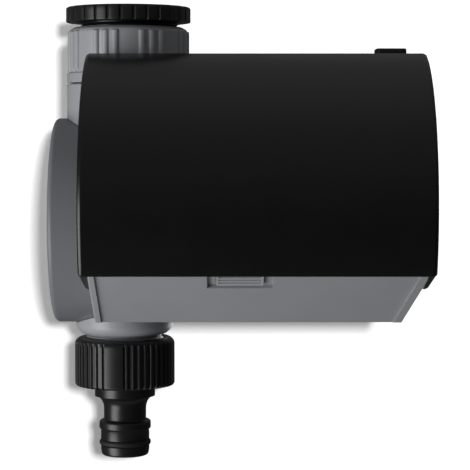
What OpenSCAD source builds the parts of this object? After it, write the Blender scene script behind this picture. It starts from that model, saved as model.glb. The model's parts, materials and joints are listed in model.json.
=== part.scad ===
// Electronic tap timer for garden irrigation: a swivel nut screws onto the tap, a pilot-operated
// diaphragm valve opens the water, and a sealed box beside it holds the display, keys and batteries.
// Origin: centre of the inlet mouth. +Z up the water axis, -Y is the front, +X runs along the box.

/* [Water path] */
// Outer radius of the swivel nut's ribs
nut_r = 20.7; // [20.5:0.1:20.9]
// Height of the swivel nut
nut_h = 18.5; // [18.3:0.1:18.6]
// Radius of the valve drum
drum_r = 34.3; // [34:0.1:34.5]
// Depth of the drum's axis below the inlet mouth
drum_drop = 71.4; // [71.2:0.1:71.6]
// Radius of the water bores
bore_r = 7; // [6:0.5:7]
// Radius of the garden hose nozzle's tip
nozzle_tip_r = 8; // [7.9:0.05:8]

/* [Box] */
// Radius of the lid's outer curve
lid_r = 52; // [51.9:0.1:52.2]
// Wall thickness of the lid
lid_wall = 1.8; // [1.6:0.1:1.8]
// Wall thickness of the box shells
wall = 2.2; // [2:0.1:2.3]
// How far the rear shell reaches behind the water axis
box_back = 20; // [20:0.5:24]

/* [Keys and display] */
// Radius of the manual key
manual_r = 8.5; // [7:0.5:9]
// Width of the small keys
key_w = 10; // [8:0.5:10.5]
// Width of the display opening
display_w = 46; // [40:1:46]
// Height of the display opening
display_h = 23; // [18:1:23]

/* [Hidden] */
$fn = 64;
eps = 0.02;        // play between parts that touch but don't bind

// ---- levels on the water axis ----
rim_h = 5.1;                         // adapter rim
nut_top = -rim_h - 1.7;
nut_bottom = nut_top - nut_h;
collar_top = nut_bottom - 0.4;       // shoulder of the valve body under the nut
tube_top = -18;                      // top of the neck tube inside the nut
tube_r = 14.6;
inlet_major_r = 16.6;                // G1 thread between adapter and nut
tap_thread_r = 12.06;                // G3/4 female thread, minor radius
tap_thread_l = 9;
tap_through_r = 8.5;
spigot_z = -15.6;                    // foot of the adapter
clip_z = [-20.98, -19.42];           // clip that holds the nut on the neck tube
clip_seat_r = 13.42;
filter_rim_z = -19.48;
filter_foot = -34;
dz = -drum_drop;
drum_x0 = -9.9;                      // diaphragm face of the valve body
drum_x1 = 21.2;                      // box end of the valve body
cap_x0 = -24.5;
seat_r = 8;
chamber_r = 23.3;
control_passage_y = 26.5;            // offset of the drilled pilot passage
cap_screw_ring = 28.3;
flange_x = 23.7;                     // solenoid tube: flange, guide bore and end
guide_r = 4.1;
guide_end = 46;
plunger_x = [23.4, 36];
coil_x = [26, 44];
coil_core_r = 6.6;
bowl_z = -106;                       // outlet bowl
bowl_r = 16.4;
thread_top = -109.6;
thread_end = -123;
socket_floor = -126;                 // bottom of the connector's thread
outlet_x = -1.6;                     // the outlet stands a little left of the inlet
outlet_r = 13.15;                    // G3/4 male thread, drawn at its major radius
connector_top = -110.9;
connector_bottom = -127.3;
connector_r = 16.85;
ring_z = -146.9;
nozzle_end = -151.3;
rib_phase = -90 - 9.6;               // where the connector's first smooth panel faces

// ---- the box in side view, as [y, z] ----
curve_c = [-13, -66.7];              // centre of the lid's curve
case_r = lid_r - lid_wall - 0.45;
hinge = [-28, -22.2];                // lid hinge axis
hinge_eye_r = 2.8;
hinge_pin_r = 1.5;
lid_x0 = -11.7;
lid_x1 = 97.5;
lid_foot_z = -85.7;
lid_back_y = -26;
case_x0 = lid_x0 + lid_wall + 0.35;
case_x1 = lid_x1 - lid_wall - 0.35;
cheek = 2.1;                         // side walls that stand proud of the fascia
seam_y = -24;                        // joint between the two box shells
seam_top = -28.9;
box_bottom = -102.7;
box_top = -18;
slope_front = [curve_c[0] - sqrt(case_r * case_r - 19.5 * 19.5), -86.2];
slope_back = [-29, box_bottom];
slope_len = norm(slope_back - slope_front);
slope_dir = (slope_back - slope_front) / slope_len;
slope_angle = atan2(slope_dir[1], slope_dir[0]);
slope_in = [-slope_dir[1], slope_dir[0]];    // unit vector into the box
bevel_z = -86;                       // the lower right corner slants from here
bevel_w = 5.8;
fascia_y = -54;
fascia_top = -42;
fascia_foot = -84.6;
board_y = -47.5;
board_t = 1.6;
tub_x0 = 21.6;                       // the rear shell's end wall beside the valve

// ---- keys, display and fasteners, as [x, z] ----
display_c = [24, -58];
keys_z = -77;
keys_x = [4, 17, 30, 43];
manual_c = [74, -63];
led_c = [74, -47.5];
key_h = 6;
key_travel = 0.8;
latch_c = 37.4;
latch_w = 14.7;
board_posts = [[-3.8, -47], [86.5, -47], [-3.8, -81], [86.5, -81]];
seam_screws = [[16, -33.8]];
deep_screws = [[40, -33.6], [88.4, -33.6], [40, -95.5], [84, -95.5]];
cell_x = [57.5, 73.5];
cell_y = 9.3;
cell_r = 7.2;
cell_z = [-85.6, -38];
pocket_x = [49, 82];
pocket_z = [-89, -34.6];
door_x = [49.5, 81.5];
door_c = 65.5;
door_z = [-88.8, -34.8];
door_hinge = [21.8, -90.2];
plug_x = [81.7, 91.7];
plug_y = [-20.4, -10.4];
socket_x = (plug_x[0] + plug_x[1]) / 2;
socket_y = -14;

// ---- helpers ----
// Arc of n + 1 points about c, from angle a0 to a1
function arc(c, r, a0, a1, n) =
  [for (i = [0:n]) let (a = a0 + (a1 - a0) * i / n) c + r * [cos(a), sin(a)]];
function angle_at(c, p) = atan2(p[1] - c[1], p[0] - c[0]);
// Rounded corner of a polyline: the arc that joins a-b-c with radius r
function corner(a, b, c, r, n = 6) =
  let (u = (a - b) / norm(a - b), v = (c - b) / norm(c - b), h = acos(u * v) / 2,
       d = r / tan(h), m = b + (u + v) / norm(u + v) * (r / sin(h)),
       p = b + u * d, q = b + v * d, a0 = angle_at(m, p), a1 = angle_at(m, q),
       da = (a1 - a0 > 180) ? a1 - a0 - 360 : (a1 - a0 < -180) ? a1 - a0 + 360 : a1 - a0)
  arc(m, r, a0, a0 + da, n);
// Closed outline with rounded corners; each point is [x, y, radius]
function rounded(pts) = [for (i = [0:len(pts) - 1])
  let (k = len(pts), a = pts[(i + k - 1) % k], b = pts[i], c = pts[(i + 1) % k])
  each (b[2] > 0 ? corner([a[0], a[1]], [b[0], b[1]], [c[0], c[1]], b[2]) : [[b[0], b[1]]])];

// Stands a child's +Z along the named axis at a point
module along_x(x, y, z) translate([x, y, z]) rotate([0, 90, 0]) children();
module along_y(x, y, z) translate([x, y, z]) rotate([-90, 0, 0]) children();
// Extrudes a side view between two X levels, or a front view between two Y levels
module yz(x0, x1) translate([x0, 0, 0]) rotate([90, 0, 90]) linear_extrude(x1 - x0) children();
module xz(y0, y1) translate([0, y1, 0]) rotate([90, 0, 0]) linear_extrude(y1 - y0) children();
module tube(r_out, r_in, h) difference() {
  cylinder(r = r_out, h = h);
  translate([0, 0, -1]) cylinder(r = r_in, h = h + 2);
}
// Ring and rod about the Z axis between two levels, and a box between two corners
module ring(z0, z1, r_out, r_in) translate([0, 0, z0]) tube(r_out, r_in, z1 - z0);
module rod(z0, z1, r) translate([0, 0, z0]) cylinder(r = r, h = z1 - z0);
module block(a, b) translate(a) cube(b - a);
// Pill-shaped 2D outline, w long and h high
module pill(w, h) {
  square([w - h, h], center = true);
  for (s = [-1, 1]) translate([s * (w - h) / 2, 0]) circle(h / 2);
}
// Rectangle with rounded corners
module soft_rect(w, h, r)
  polygon(rounded([[-w/2, -h/2, r], [w/2, -h/2, r], [w/2, h/2, r], [-w/2, h/2, r]]));
// Pan-head screw with a cross recess; its head's underside is at z = 0 and it points down
module screw(head_r, head_h, shank_r, shank_l) {
  difference() {
    union() {
      cylinder(r1 = head_r, r2 = head_r * 0.72, h = head_h);
      translate([0, 0, -shank_l + shank_r]) cylinder(r = shank_r, h = shank_l - shank_r + 0.1);
      translate([0, 0, -shank_l]) cylinder(r1 = 0.3, r2 = shank_r, h = shank_r);
    }
    for (a = [0, 90]) rotate(a)
      translate([-head_r * 0.5, -0.32, head_h * 0.4]) cube([head_r, 0.64, head_h]);
  }
}
// Round wire swept through points; the section turns with the path's heading
module wire(path, r, sides = 8) {
  n = len(path);
  function heading(i) = let (d = path[min(i + 1, n - 1)] - path[max(i - 1, 0)]) d / norm(d);
  ref = abs(heading(0)[2]) > 0.9 ? [1, 0, 0] : [0, 0, 1];
  pts = [for (i = [0:n - 1])
    let (t = heading(i), u0 = cross(t, ref), u = u0 / norm(u0), v = cross(t, u))
    for (k = [0:sides - 1]) path[i] + r * (cos(360 * k / sides) * u + sin(360 * k / sides) * v)];
  skin = [for (i = [0:n - 2], k = [0:sides - 1])
    let (a = i * sides + k, b = i * sides + (k + 1) % sides)
    each [[a, b + sides, b], [a, a + sides, b + sides]]];
  polyhedron(pts, concat([[for (k = [0:sides - 1]) k]], skin,
    [[for (k = [0:sides - 1]) n * sides - 1 - k]]));
}
// Helix about +Z, of radius r0 at the foot and r1 at the top
function helix(r0, r1, h, turns, steps = 14) = [for (i = [0:turns * steps])
  let (t = i / (turns * steps), r = r0 + (r1 - r0) * t, a = 360 * turns * t)
  [r * cos(a), r * sin(a), h * t]];
// Smooth curve through four control points
function bezier(p, n = 14) = [for (i = [0:n]) let (t = i / n, s = 1 - t)
  s*s*s*p[0] + 3*s*s*t*p[1] + 3*s*t*t*p[2] + t*t*t*p[3]];

// ---- valve ----
module at_cap_screws() for (k = [0:7]) rotate(22.5 + 45 * k) translate([cap_screw_ring, 0]) children();
module at_solenoid_screws() for (k = [0:2]) rotate(60 + 120 * k) translate([10, 0]) children();
module at_mount_screws() for (k = [0:3]) rotate(45 + 90 * k) translate([20, 0]) children();

module valve_body() color([0.44, 0.45, 0.47]) difference() {
  union() {
    along_x(drum_x0, 0, dz) rotate_extrude() {
      square([drum_r - 0.4, drum_x1 - drum_x0 - 2]);
      square([drum_r - 2.4, drum_x1 - drum_x0]);
      translate([drum_r - 2.4, drum_x1 - drum_x0 - 2]) circle(2);
    }
    rod(dz, collar_top - 0.6, nut_r);
    rod(dz, collar_top, nut_r - 0.6);
    translate([0, 0, collar_top - 0.6]) rotate_extrude() translate([nut_r - 0.6, 0]) circle(0.6);
    rod(collar_top - 1, tube_top, tube_r);
    translate([outlet_x, 0, 0]) {
      rod(bowl_z + 5, dz, bowl_r);
      outlet_bowl();
      rod(thread_end, thread_top - 0.6, outlet_r);
    }
    along_x(drum_x1 - 1, 0, dz) cylinder(r = 2, h = 2.6);
  }
  // room for the cap under the neck and above the outlet
  along_x(cap_x0 - 2, 0, dz) cylinder(r = drum_r + 0.2, h = drum_x0 - cap_x0 + 2);
  // clip groove, filter well and the inlet bore
  ring(clip_z[0] - 0.02, clip_z[1] + 0.02, tube_r + 1, clip_seat_r - 0.02);
  rod(filter_rim_z - 0.02, tube_top + 1, 10.5);
  rod(filter_foot - 1, tube_top, 9);
  rod(-59, filter_foot + 4, bore_r);
  // annular chamber round the seat, and the port that feeds it
  along_x(drum_x0 - 1, 0, dz) tube(22.5, 10.5, 3.2);
  along_x(drum_x0 + 0.5, 0, -54.5) cylinder(r = 4.5, h = 9);
  // seat bore and outlet bore
  along_x(drum_x0 - 1, 0, dz) cylinder(r = seat_r, h = 11);
  translate([outlet_x, 0, 0]) rod(thread_end - 1, dz, bore_r);
  // cap screw holes
  along_x(drum_x0 - 1, 0, dz) at_cap_screws() cylinder(r = 1.72, h = 12.4);
  // pilot passage from the control chamber, across, and out beside the pilot nozzle
  along_x(drum_x0 - 1, control_passage_y, dz) cylinder(r = 0.9, h = 28.5);
  along_y(16.6, 4.5, dz) cylinder(r = 0.9, h = control_passage_y - 4.5);
  along_x(16.6, 4.5, dz) cylinder(r = 0.9, h = 6);
  along_x(0, 0, dz) cylinder(r = 0.6, h = 24);
  // seal groove, solenoid screw holes and mounting screw holes
  along_x(drum_x1 - 1.5, 0, dz) tube(17.1, 14.9, 3);
  along_x(drum_x1 - 8, 0, dz) at_solenoid_screws() cylinder(r = 1.22, h = 10);
  along_x(drum_x1 - 10, 0, dz) at_mount_screws() cylinder(r = 1.72, h = 12);
}
module outlet_bowl() rotate_extrude() polygon(concat(
  [[0, bowl_z + 6], [bowl_r, bowl_z + 6]],
  arc([bowl_r - 3.8, bowl_z], 3.8, 0, -90, 10),
  [[outlet_r - 0.65, thread_top - 1], [0, thread_top - 1]]));

module valve_cap() color([0.44, 0.45, 0.47]) {
  depth = drum_x0 - 0.2 - cap_x0;
  clamp = drum_x0 - 1.6 - cap_x0;
  difference() {
    along_x(cap_x0, 0, dz) difference() {
      rotate_extrude() {
        square([drum_r - 2.5, 5]);
        translate([0, 2.5]) square([drum_r, depth - 2.5 - 0.4]);
        translate([0, 2.5]) square([drum_r - 0.4, depth - 2.5]);
        translate([drum_r - 2.5, 2.5]) circle(2.5);
      }
      translate([0, 0, clamp]) cylinder(r = 31.6, h = 5);             // seat for the diaphragm's rim
      translate([0, 0, 3]) cylinder(r = chamber_r, h = depth);         // control chamber
      translate([0, 0, 2]) tube(9.2, 6.2, 2);                          // spring seat
      translate([0, 0, -1]) cylinder(r = 19.5, h = 1.8);               // shallow dish outside
      at_cap_screws() {
        translate([0, 0, -1]) cylinder(r = 3.4, h = 4);
        translate([0, 0, -1]) cylinder(r = 1.9, h = depth + 2);
      }
    }
    // the pilot passage opens into the control chamber
    along_x(cap_x0 + 9, control_passage_y, dz) cylinder(r = 1, h = 10);
    along_y(cap_x0 + 10, chamber_r - 2, dz) cylinder(r = 1, h = control_passage_y - chamber_r + 2);
  }
}
module cap_screws() color([0.75, 0.76, 0.78])
  along_x(cap_x0 + 3, 0, dz) at_cap_screws() rotate([180, 0, 0]) screw(3, 2, 1.7, 22);

module diaphragm() color([0.12, 0.12, 0.13]) along_x(0, 0, dz) difference() {
  rotate_extrude() {
    translate([2.55, drum_x0 - 1.6 + eps]) square([10.6, 1.6 - 2 * eps]);
    translate([22.6, drum_x0 - 1.6 + eps]) square([8.8, 1.6 - 2 * eps]);
    difference() {
      translate([17.9, drum_x0 - 1.6]) circle(5.2);
      translate([17.9, drum_x0 - 1.6]) circle(4.2);
      translate([0, drum_x0 - 1.6 + 0.2]) square([40, 10]);
    }
  }
  translate([0, 0, drum_x0 - 4]) at_cap_screws() cylinder(r = 2, h = 6);
  translate([0, control_passage_y, drum_x0 - 4]) cylinder(r = 1, h = 6);
  translate([-15.5, 0, drum_x0 - 9]) cylinder(r = 0.4, h = 10);       // bleed hole
}
module valve_disc() color([0.85, 0.85, 0.83]) along_x(0, 0, dz) difference() {
  union() {
    rod(drum_x0 - 3.1, drum_x0 - 1.6, 11.5);      // washer behind the diaphragm
    rod(drum_x0 - 2, -7.5, 2.5);
    rod(drum_x0 + 0.01, -8.4, seat_r - 0.8);      // plug that enters the seat
    rod(drum_x0 - 5, drum_x0 - 3, 5.4);           // spring guide
  }
  rod(drum_x0 - 6, drum_x0 - 3.4, 3.6);
}
module diaphragm_spring() color([0.75, 0.76, 0.78])
  along_x(cap_x0 + 2.5, 0, dz) wire(helix(7.6, 6.6, drum_x0 - 3.6 - cap_x0 - 3.1, 4), 0.45);

module solenoid_tube() color([0.7, 0.71, 0.73]) along_x(0, 0, dz) difference() {
  union() {
    rod(drum_x1 + eps, flange_x, 13);
    rod(flange_x - 0.1, guide_end, 5);
  }
  rod(drum_x1 - 1, flange_x - 0.8, 6);
  rod(drum_x1, guide_end + 1, guide_r);
  at_solenoid_screws() rod(drum_x1 - 1, flange_x + 1, 1.4);
}
module solenoid_screws() color([0.75, 0.76, 0.78])
  along_x(flange_x + eps, 0, dz) at_solenoid_screws() screw(2, 1.6, 1.2, 9);
module coil_bobbin() color([0.13, 0.13, 0.14]) along_x(0, 0, dz) difference() {
  union() {
    rod(coil_x[0], coil_x[0] + 1.5, 11);
    rod(coil_x[0] + 1, coil_x[1] - 1, coil_core_r);
    rod(coil_x[1] - 1.5, coil_x[1], 11);
    block([-3.5, 10.3, coil_x[0]], [3.5, 14, coil_x[0] + 5]);      // wire terminal
  }
  rod(coil_x[0] - 1, coil_x[1] + 1, 5.05);
}
module coil_winding() color([0.72, 0.35, 0.14]) along_x(0, 0, dz)
  ring(coil_x[0] + 1.5 + eps, coil_x[1] - 1.5 - eps, 10.2, coil_core_r + eps);
module coil_clip() color([0.75, 0.76, 0.78]) along_x(0, 0, dz) difference() {
  ring(coil_x[1] + 0.05, coil_x[1] + 1.1, 7.4, 5.02);
  block([-8, -0.8, coil_x[1] - 1], [0, 0.8, coil_x[1] + 3]);
}
module solenoid_core() color([0.6, 0.61, 0.63])
  along_x(0, 0, dz) rod(guide_end - 6.4, guide_end, guide_r - 0.02);
module plunger() color([0.6, 0.61, 0.63]) along_x(0, 0, dz) difference() {
  rod(plunger_x[0], plunger_x[1], guide_r - 0.1);
  rod(plunger_x[0] - 1, plunger_x[0] + 0.8, 3.2);
  // vent flutes
  for (s = [-1, 1]) block([s * 4.4 - 1, -0.7, plunger_x[0] - 1], [s * 4.4 + 1, 0.7, plunger_x[1] + 1]);
}
module plunger_seal() color([0.12, 0.12, 0.13]) along_x(0, 0, dz)
  rod(plunger_x[0] - 0.58, plunger_x[0] + 0.8 - eps, 3.18);
module plunger_spring() color([0.75, 0.76, 0.78])
  along_x(plunger_x[1] + 0.3, 0, dz) wire(helix(2.6, 2.6, 3, 3), 0.25, 6);
module body_seal() color([0.12, 0.12, 0.13])
  along_x(drum_x1 - 0.55, 0, dz) rotate_extrude() translate([16, 0]) circle(0.93);
module valve_mount_screws() color([0.75, 0.76, 0.78])
  along_x(tub_x0 + wall + eps, 0, dz) at_mount_screws() screw(2.8, 1.8, 1.7, 11);

// ---- inlet ----
module inlet_nut() color([0.5, 0.51, 0.53]) difference() {
  intersection() {
    union() {
      rod(nut_bottom, nut_top, nut_r - 0.65);
      for (g = [0:7], j = [-1:1]) rotate(-90 - 16 + 45 * g + 10 * j)
        translate([nut_r - 1.75, 0]) rod(nut_bottom + 1, nut_top, 1.6);
      rod(nut_bottom, nut_bottom + 3.4, nut_r);
    }
    rotate_extrude() {
      translate([0, nut_bottom]) square([nut_r, nut_h - 2.2]);
      translate([0, nut_bottom]) square([nut_r - 2.2, nut_h]);
      translate([nut_r - 2.2, nut_top - 2.2]) circle(2.2);
    }
  }
  rod(clip_z[0] - 0.32, nut_top + 1, inlet_major_r + 0.06);
  rod(nut_bottom - 1, clip_z[0], tube_r + 0.2);
  translate([0, 0, nut_top - 0.8]) cylinder(r1 = inlet_major_r, r2 = inlet_major_r + 1.2, h = 0.9);
}
module nut_clip() color([0.85, 0.85, 0.83]) difference() {
  ring(clip_z[0], clip_z[1], 16.2, clip_seat_r);
  rotate(90) translate([0, -4, clip_z[0] - 1]) cube([20, 8, 4]);      // the clip's opening
}
module inlet_seal() color([0.12, 0.12, 0.13]) ring(tube_top + eps, spigot_z - eps, 16, 10.6);
module inlet_filter() color([0.13, 0.13, 0.14]) difference() {
  union() {
    rod(filter_rim_z, tube_top, 10.45);
    rod(filter_foot, tube_top - 0.5, 8.8);
  }
  rod(filter_foot + 1.2, tube_top + 1, 7.9);
  for (k = [0:5]) rotate(60 * k) block([4, -3.2, filter_foot + 2.2], [12, 3.2, filter_rim_z - 1.5]);
}
module filter_mesh() color([0.8, 0.8, 0.8]) ring(filter_foot + 1.25, tube_top - 1, 7.85, 7.5);
module inlet_adapter() color([0.1, 0.1, 0.11]) difference() {
  union() {
    rotate_extrude()
      polygon([[0, -rim_h], [nut_r + 0.1, -rim_h], [nut_r + 0.1, -0.9], [nut_r - 0.8, 0], [0, 0]]);
    rod(spigot_z, -rim_h + 1, inlet_major_r);
  }
  for (k = [0:29]) rotate(12 * k + 2) translate([nut_r + 0.25, 0]) rod(-rim_h - 1, 1, 0.62);
  rod(-tap_thread_l, 1, tap_thread_r);
  rod(-tap_thread_l - 2, -tap_thread_l, tap_thread_r + 0.35);
  rod(spigot_z - 1, -tap_thread_l - 1, tap_through_r);
}
module tap_washer() color([0.16, 0.16, 0.17])
  ring(-tap_thread_l - 2 + eps, -tap_thread_l - eps, tap_thread_r + 0.3, tap_through_r + 0.1);

// ---- outlet ----
module hose_connector() color([0.1, 0.1, 0.11]) translate([outlet_x, 0, 0]) difference() {
  union() {
    intersection() {
      union() {
        rod(connector_bottom, connector_top, connector_r - 0.5);
        for (q = [0:3], j = [0:8]) rotate(rib_phase + 90 * q + 15 + 7.5 * j)
          translate([connector_r - 0.48, 0]) rod(connector_bottom, connector_top, 0.48);
        for (q = [0:3]) rotate(rib_phase + 90 * q) thumb_panel();
      }
      rotate_extrude() {
        polygon(concat([[0, connector_bottom]], arc([connector_r - 1, connector_bottom + 1], 1, -90, 0, 5),
          arc([connector_r - 2.4, connector_top - 2.4], 2.4, 0, 90, 10), [[0, connector_top]]));
      }
    }
    rotate_extrude() polygon(nozzle_outline());
  }
  rod(socket_floor, connector_top + 1, outlet_r + 0.06);
  translate([0, 0, connector_top - 0.5]) cylinder(r1 = outlet_r + 0.05, r2 = outlet_r + 0.7, h = 0.6);
  rod(-160, -120, 5.6);
  translate([0, 0, ring_z]) rotate_extrude() translate([7.75, 0]) circle(1.05);
}
// Smooth panel between the connector's rib groups
module thumb_panel() intersection() {
  translate([0, 0, connector_bottom]) cylinder(r = connector_r, h = connector_top - connector_bottom);
  translate([0, 0, connector_bottom]) linear_extrude(connector_top - connector_bottom)
    polygon([[0, 0], 30 * [cos(-11), sin(-11)], 30 * [cos(11), sin(11)]]);
}
// Hose nozzle: collar, concave throat, catch rib, body, ring groove and tip, as [r, z]
function nozzle_outline() = concat(
  [[0, -126.5], [10.2, -126.5]],
  [for (i = [0:9]) [10.2 - 3.05 * sin(10 * i), -135.6 + 4.6 * cos(10 * i)]],
  [[7.15, -139.3]],
  arc([7.75, -140.3], 1, 100, 0, 5), arc([7.75, -141.5], 1, 0, -90, 5),
  [[8.2, -142.9], [8.2, -149.4]],
  arc([nozzle_tip_r - 1, nozzle_end + 1], 1, 0, -90, 5), [[0, nozzle_end]]);
module nozzle_ring() color([0.09, 0.09, 0.09])
  translate([outlet_x, 0, ring_z]) rotate_extrude() translate([7.75, 0]) circle(1.02);
module outlet_washer() color([0.16, 0.16, 0.17])
  translate([outlet_x, 0, 0]) ring(socket_floor + eps, thread_end - eps, 13, 7.4);

// ---- box outlines in side view ----
function case_outline() = concat(
  [[seam_y, seam_top], [seam_y, box_bottom]],
  corner([seam_y, box_bottom], slope_back, slope_front, 1.5),
  arc(curve_c, case_r, 360 + angle_at(curve_c, slope_front), angle_at(curve_c, hinge), 28),
  arc(hinge, hinge_eye_r, angle_at(curve_c, hinge), -60, 10),
  [[-25.2, -28.2]]);
function cavity_outline() =
  let (f = slope_front + 2.9 * slope_in, b = slope_back + 2.9 * slope_in, y = fascia_y + wall)
  [[seam_y + 2, -31], [seam_y + 2, b[1]], b, [y, f[1] + (y - f[0]) * slope_dir[1] / slope_dir[0]],
   [y, -43], [-34.5, -26.4], [-31.5, -25.4], [-29.5, -28], [-26.5, -31]];
function boss_outline() = [[seam_y, -30], [seam_y, box_bottom + 1.5], slope_back + 1.6 * slope_in,
  slope_front + 1.6 * slope_in, [-50, -30]];
// Outline of the box in front view, inset by d, with its lower right corner cut on a slant
module box_front(d, x0 = case_x0, top = seam_top) polygon([
  [x0 + d, top - d], [case_x1 - d, top - d], [case_x1 - d, bevel_z],
  [case_x1 - bevel_w - d * 0.8, box_bottom + d], [x0 + d, box_bottom + d]]);
module bevel_cut(y0, y1, d = 0) xz(y0, y1) polygon([
  [case_x1 + 20, bevel_z + 20], [case_x1 - d, bevel_z + 20], [case_x1 - d, bevel_z],
  [case_x1 - bevel_w - d, box_bottom], [case_x1 - bevel_w * 1.5 - d, box_bottom - 8.2],
  [case_x1 + 20, box_bottom - 8.2]]);
// Places a child on the sloping underside: x along the box, y up the slope's run, z into the box
module on_slope(x, run)
  translate([x, slope_front[0] + run * slope_dir[0], slope_front[1] + run * slope_dir[1]])
  rotate([slope_angle, 0, 0]) children();

module front_case() color([0.42, 0.43, 0.46]) difference() {
  union() {
    difference() {
      yz(case_x0, case_x1) polygon(case_outline());
      // fascia recess, and the shallow panel of the underside
      yz(case_x0 + cheek, case_x1 - cheek) polygon([
        [-80, fascia_foot], [fascia_y, fascia_foot], [fascia_y, fascia_top],
        [-36, -24.8], [-33.4, -21], [-40, 0], [-80, 0]]);
      difference() {
        on_slope(case_x0 + cheek, -4) translate([0, 0, -3])
          cube([case_x1 - case_x0 - 2 * cheek, slope_len + 20, 3.7]);
        bevel_cut(-80, 0, 2.6);
      }
      bevel_cut(-80, 0);
      difference() {
        yz(case_x0 + cheek, case_x1 - cheek) polygon(cavity_outline());
        bevel_cut(-80, 0, cheek + 0.4);
      }
    }
    // screw bosses for the rear shell, and posts for the board
    intersection() {
      for (p = concat(seam_screws, deep_screws))
        along_y(p[0], -37, p[1]) cylinder(r = 3.4, h = 37 + seam_y);
      yz(case_x0 + 1, case_x1 - 1) polygon(boss_outline());
    }
    for (p = board_posts) along_y(p[0], fascia_y + 1, p[1]) cylinder(r = 2.6, h = board_y - fascia_y - 1);
    latch_walls();
  }
  along_x(case_x0 - 1, 0, dz) cylinder(r = drum_r + 2.6, h = tub_x0 + wall - case_x0 + 1.3);
  for (p = concat(seam_screws, deep_screws)) along_y(p[0], -34.5, p[1]) cylinder(r = 1.42, h = 14);
  for (p = board_posts) along_y(p[0], fascia_y + 1.6, p[1]) cylinder(r = 1.02, h = 10);
  // display: opening and the rebate for its window
  translate([display_c[0], 0, display_c[1]]) {
    xz(fascia_y - 1, fascia_y + 4) soft_rect(display_w, display_h, 1.5);
    xz(fascia_y - 1, fascia_y + 1.2) soft_rect(display_w + 4, display_h + 4, 2);
  }
  // keys and status light
  for (x = keys_x) translate([x, 0, keys_z]) xz(fascia_y - 1, fascia_y + 4) pill(key_w + 0.3, key_h + 0.3);
  along_y(manual_c[0], fascia_y - 1, manual_c[1]) cylinder(r = manual_r + 0.15, h = 5);
  along_y(led_c[0], fascia_y - 1, led_c[1]) cylinder(r = 1.55, h = 5);
  // lid hinge pins
  along_x(case_x0 - 1, hinge[0], hinge[1]) cylinder(r = hinge_pin_r + eps, h = 7);
  along_x(case_x1 - 6, hinge[0], hinge[1]) cylinder(r = hinge_pin_r + eps, h = 7);
  // thumb pocket and the latch's window in it
  on_slope(latch_c - 10.2, -6) translate([0, 0, 0.6]) cube([20.4, 15, 1.3]);
  on_slope(latch_c - latch_w / 2 - 0.2, -6) translate([0, 0, 0.6]) cube([latch_w + 0.4, 12.2, 8]);
  gasket_groove();
}
module latch_walls() on_slope(latch_c - latch_w / 2 - 1.6, 1.2)
  translate([0, 0, 0.7]) cube([latch_w + 3.2, 6.6, 3.4]);
// Thin frame round the seam between the shells, half its depth d either side
module seam_frame(d, outer, inner) xz(seam_y - d, seam_y + d) difference() {
  box_front(outer);
  box_front(inner);
}
module gasket_groove() seam_frame(0.6, 0.55, 1.65);
module case_gasket() color([0.12, 0.12, 0.13]) difference() {
  seam_frame(0.58, 0.6, 1.6);
  along_x(case_x0 - 1, 0, dz) cylinder(r = drum_r + 2.7, h = tub_x0 + wall - case_x0 + 1.4);
}

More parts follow.
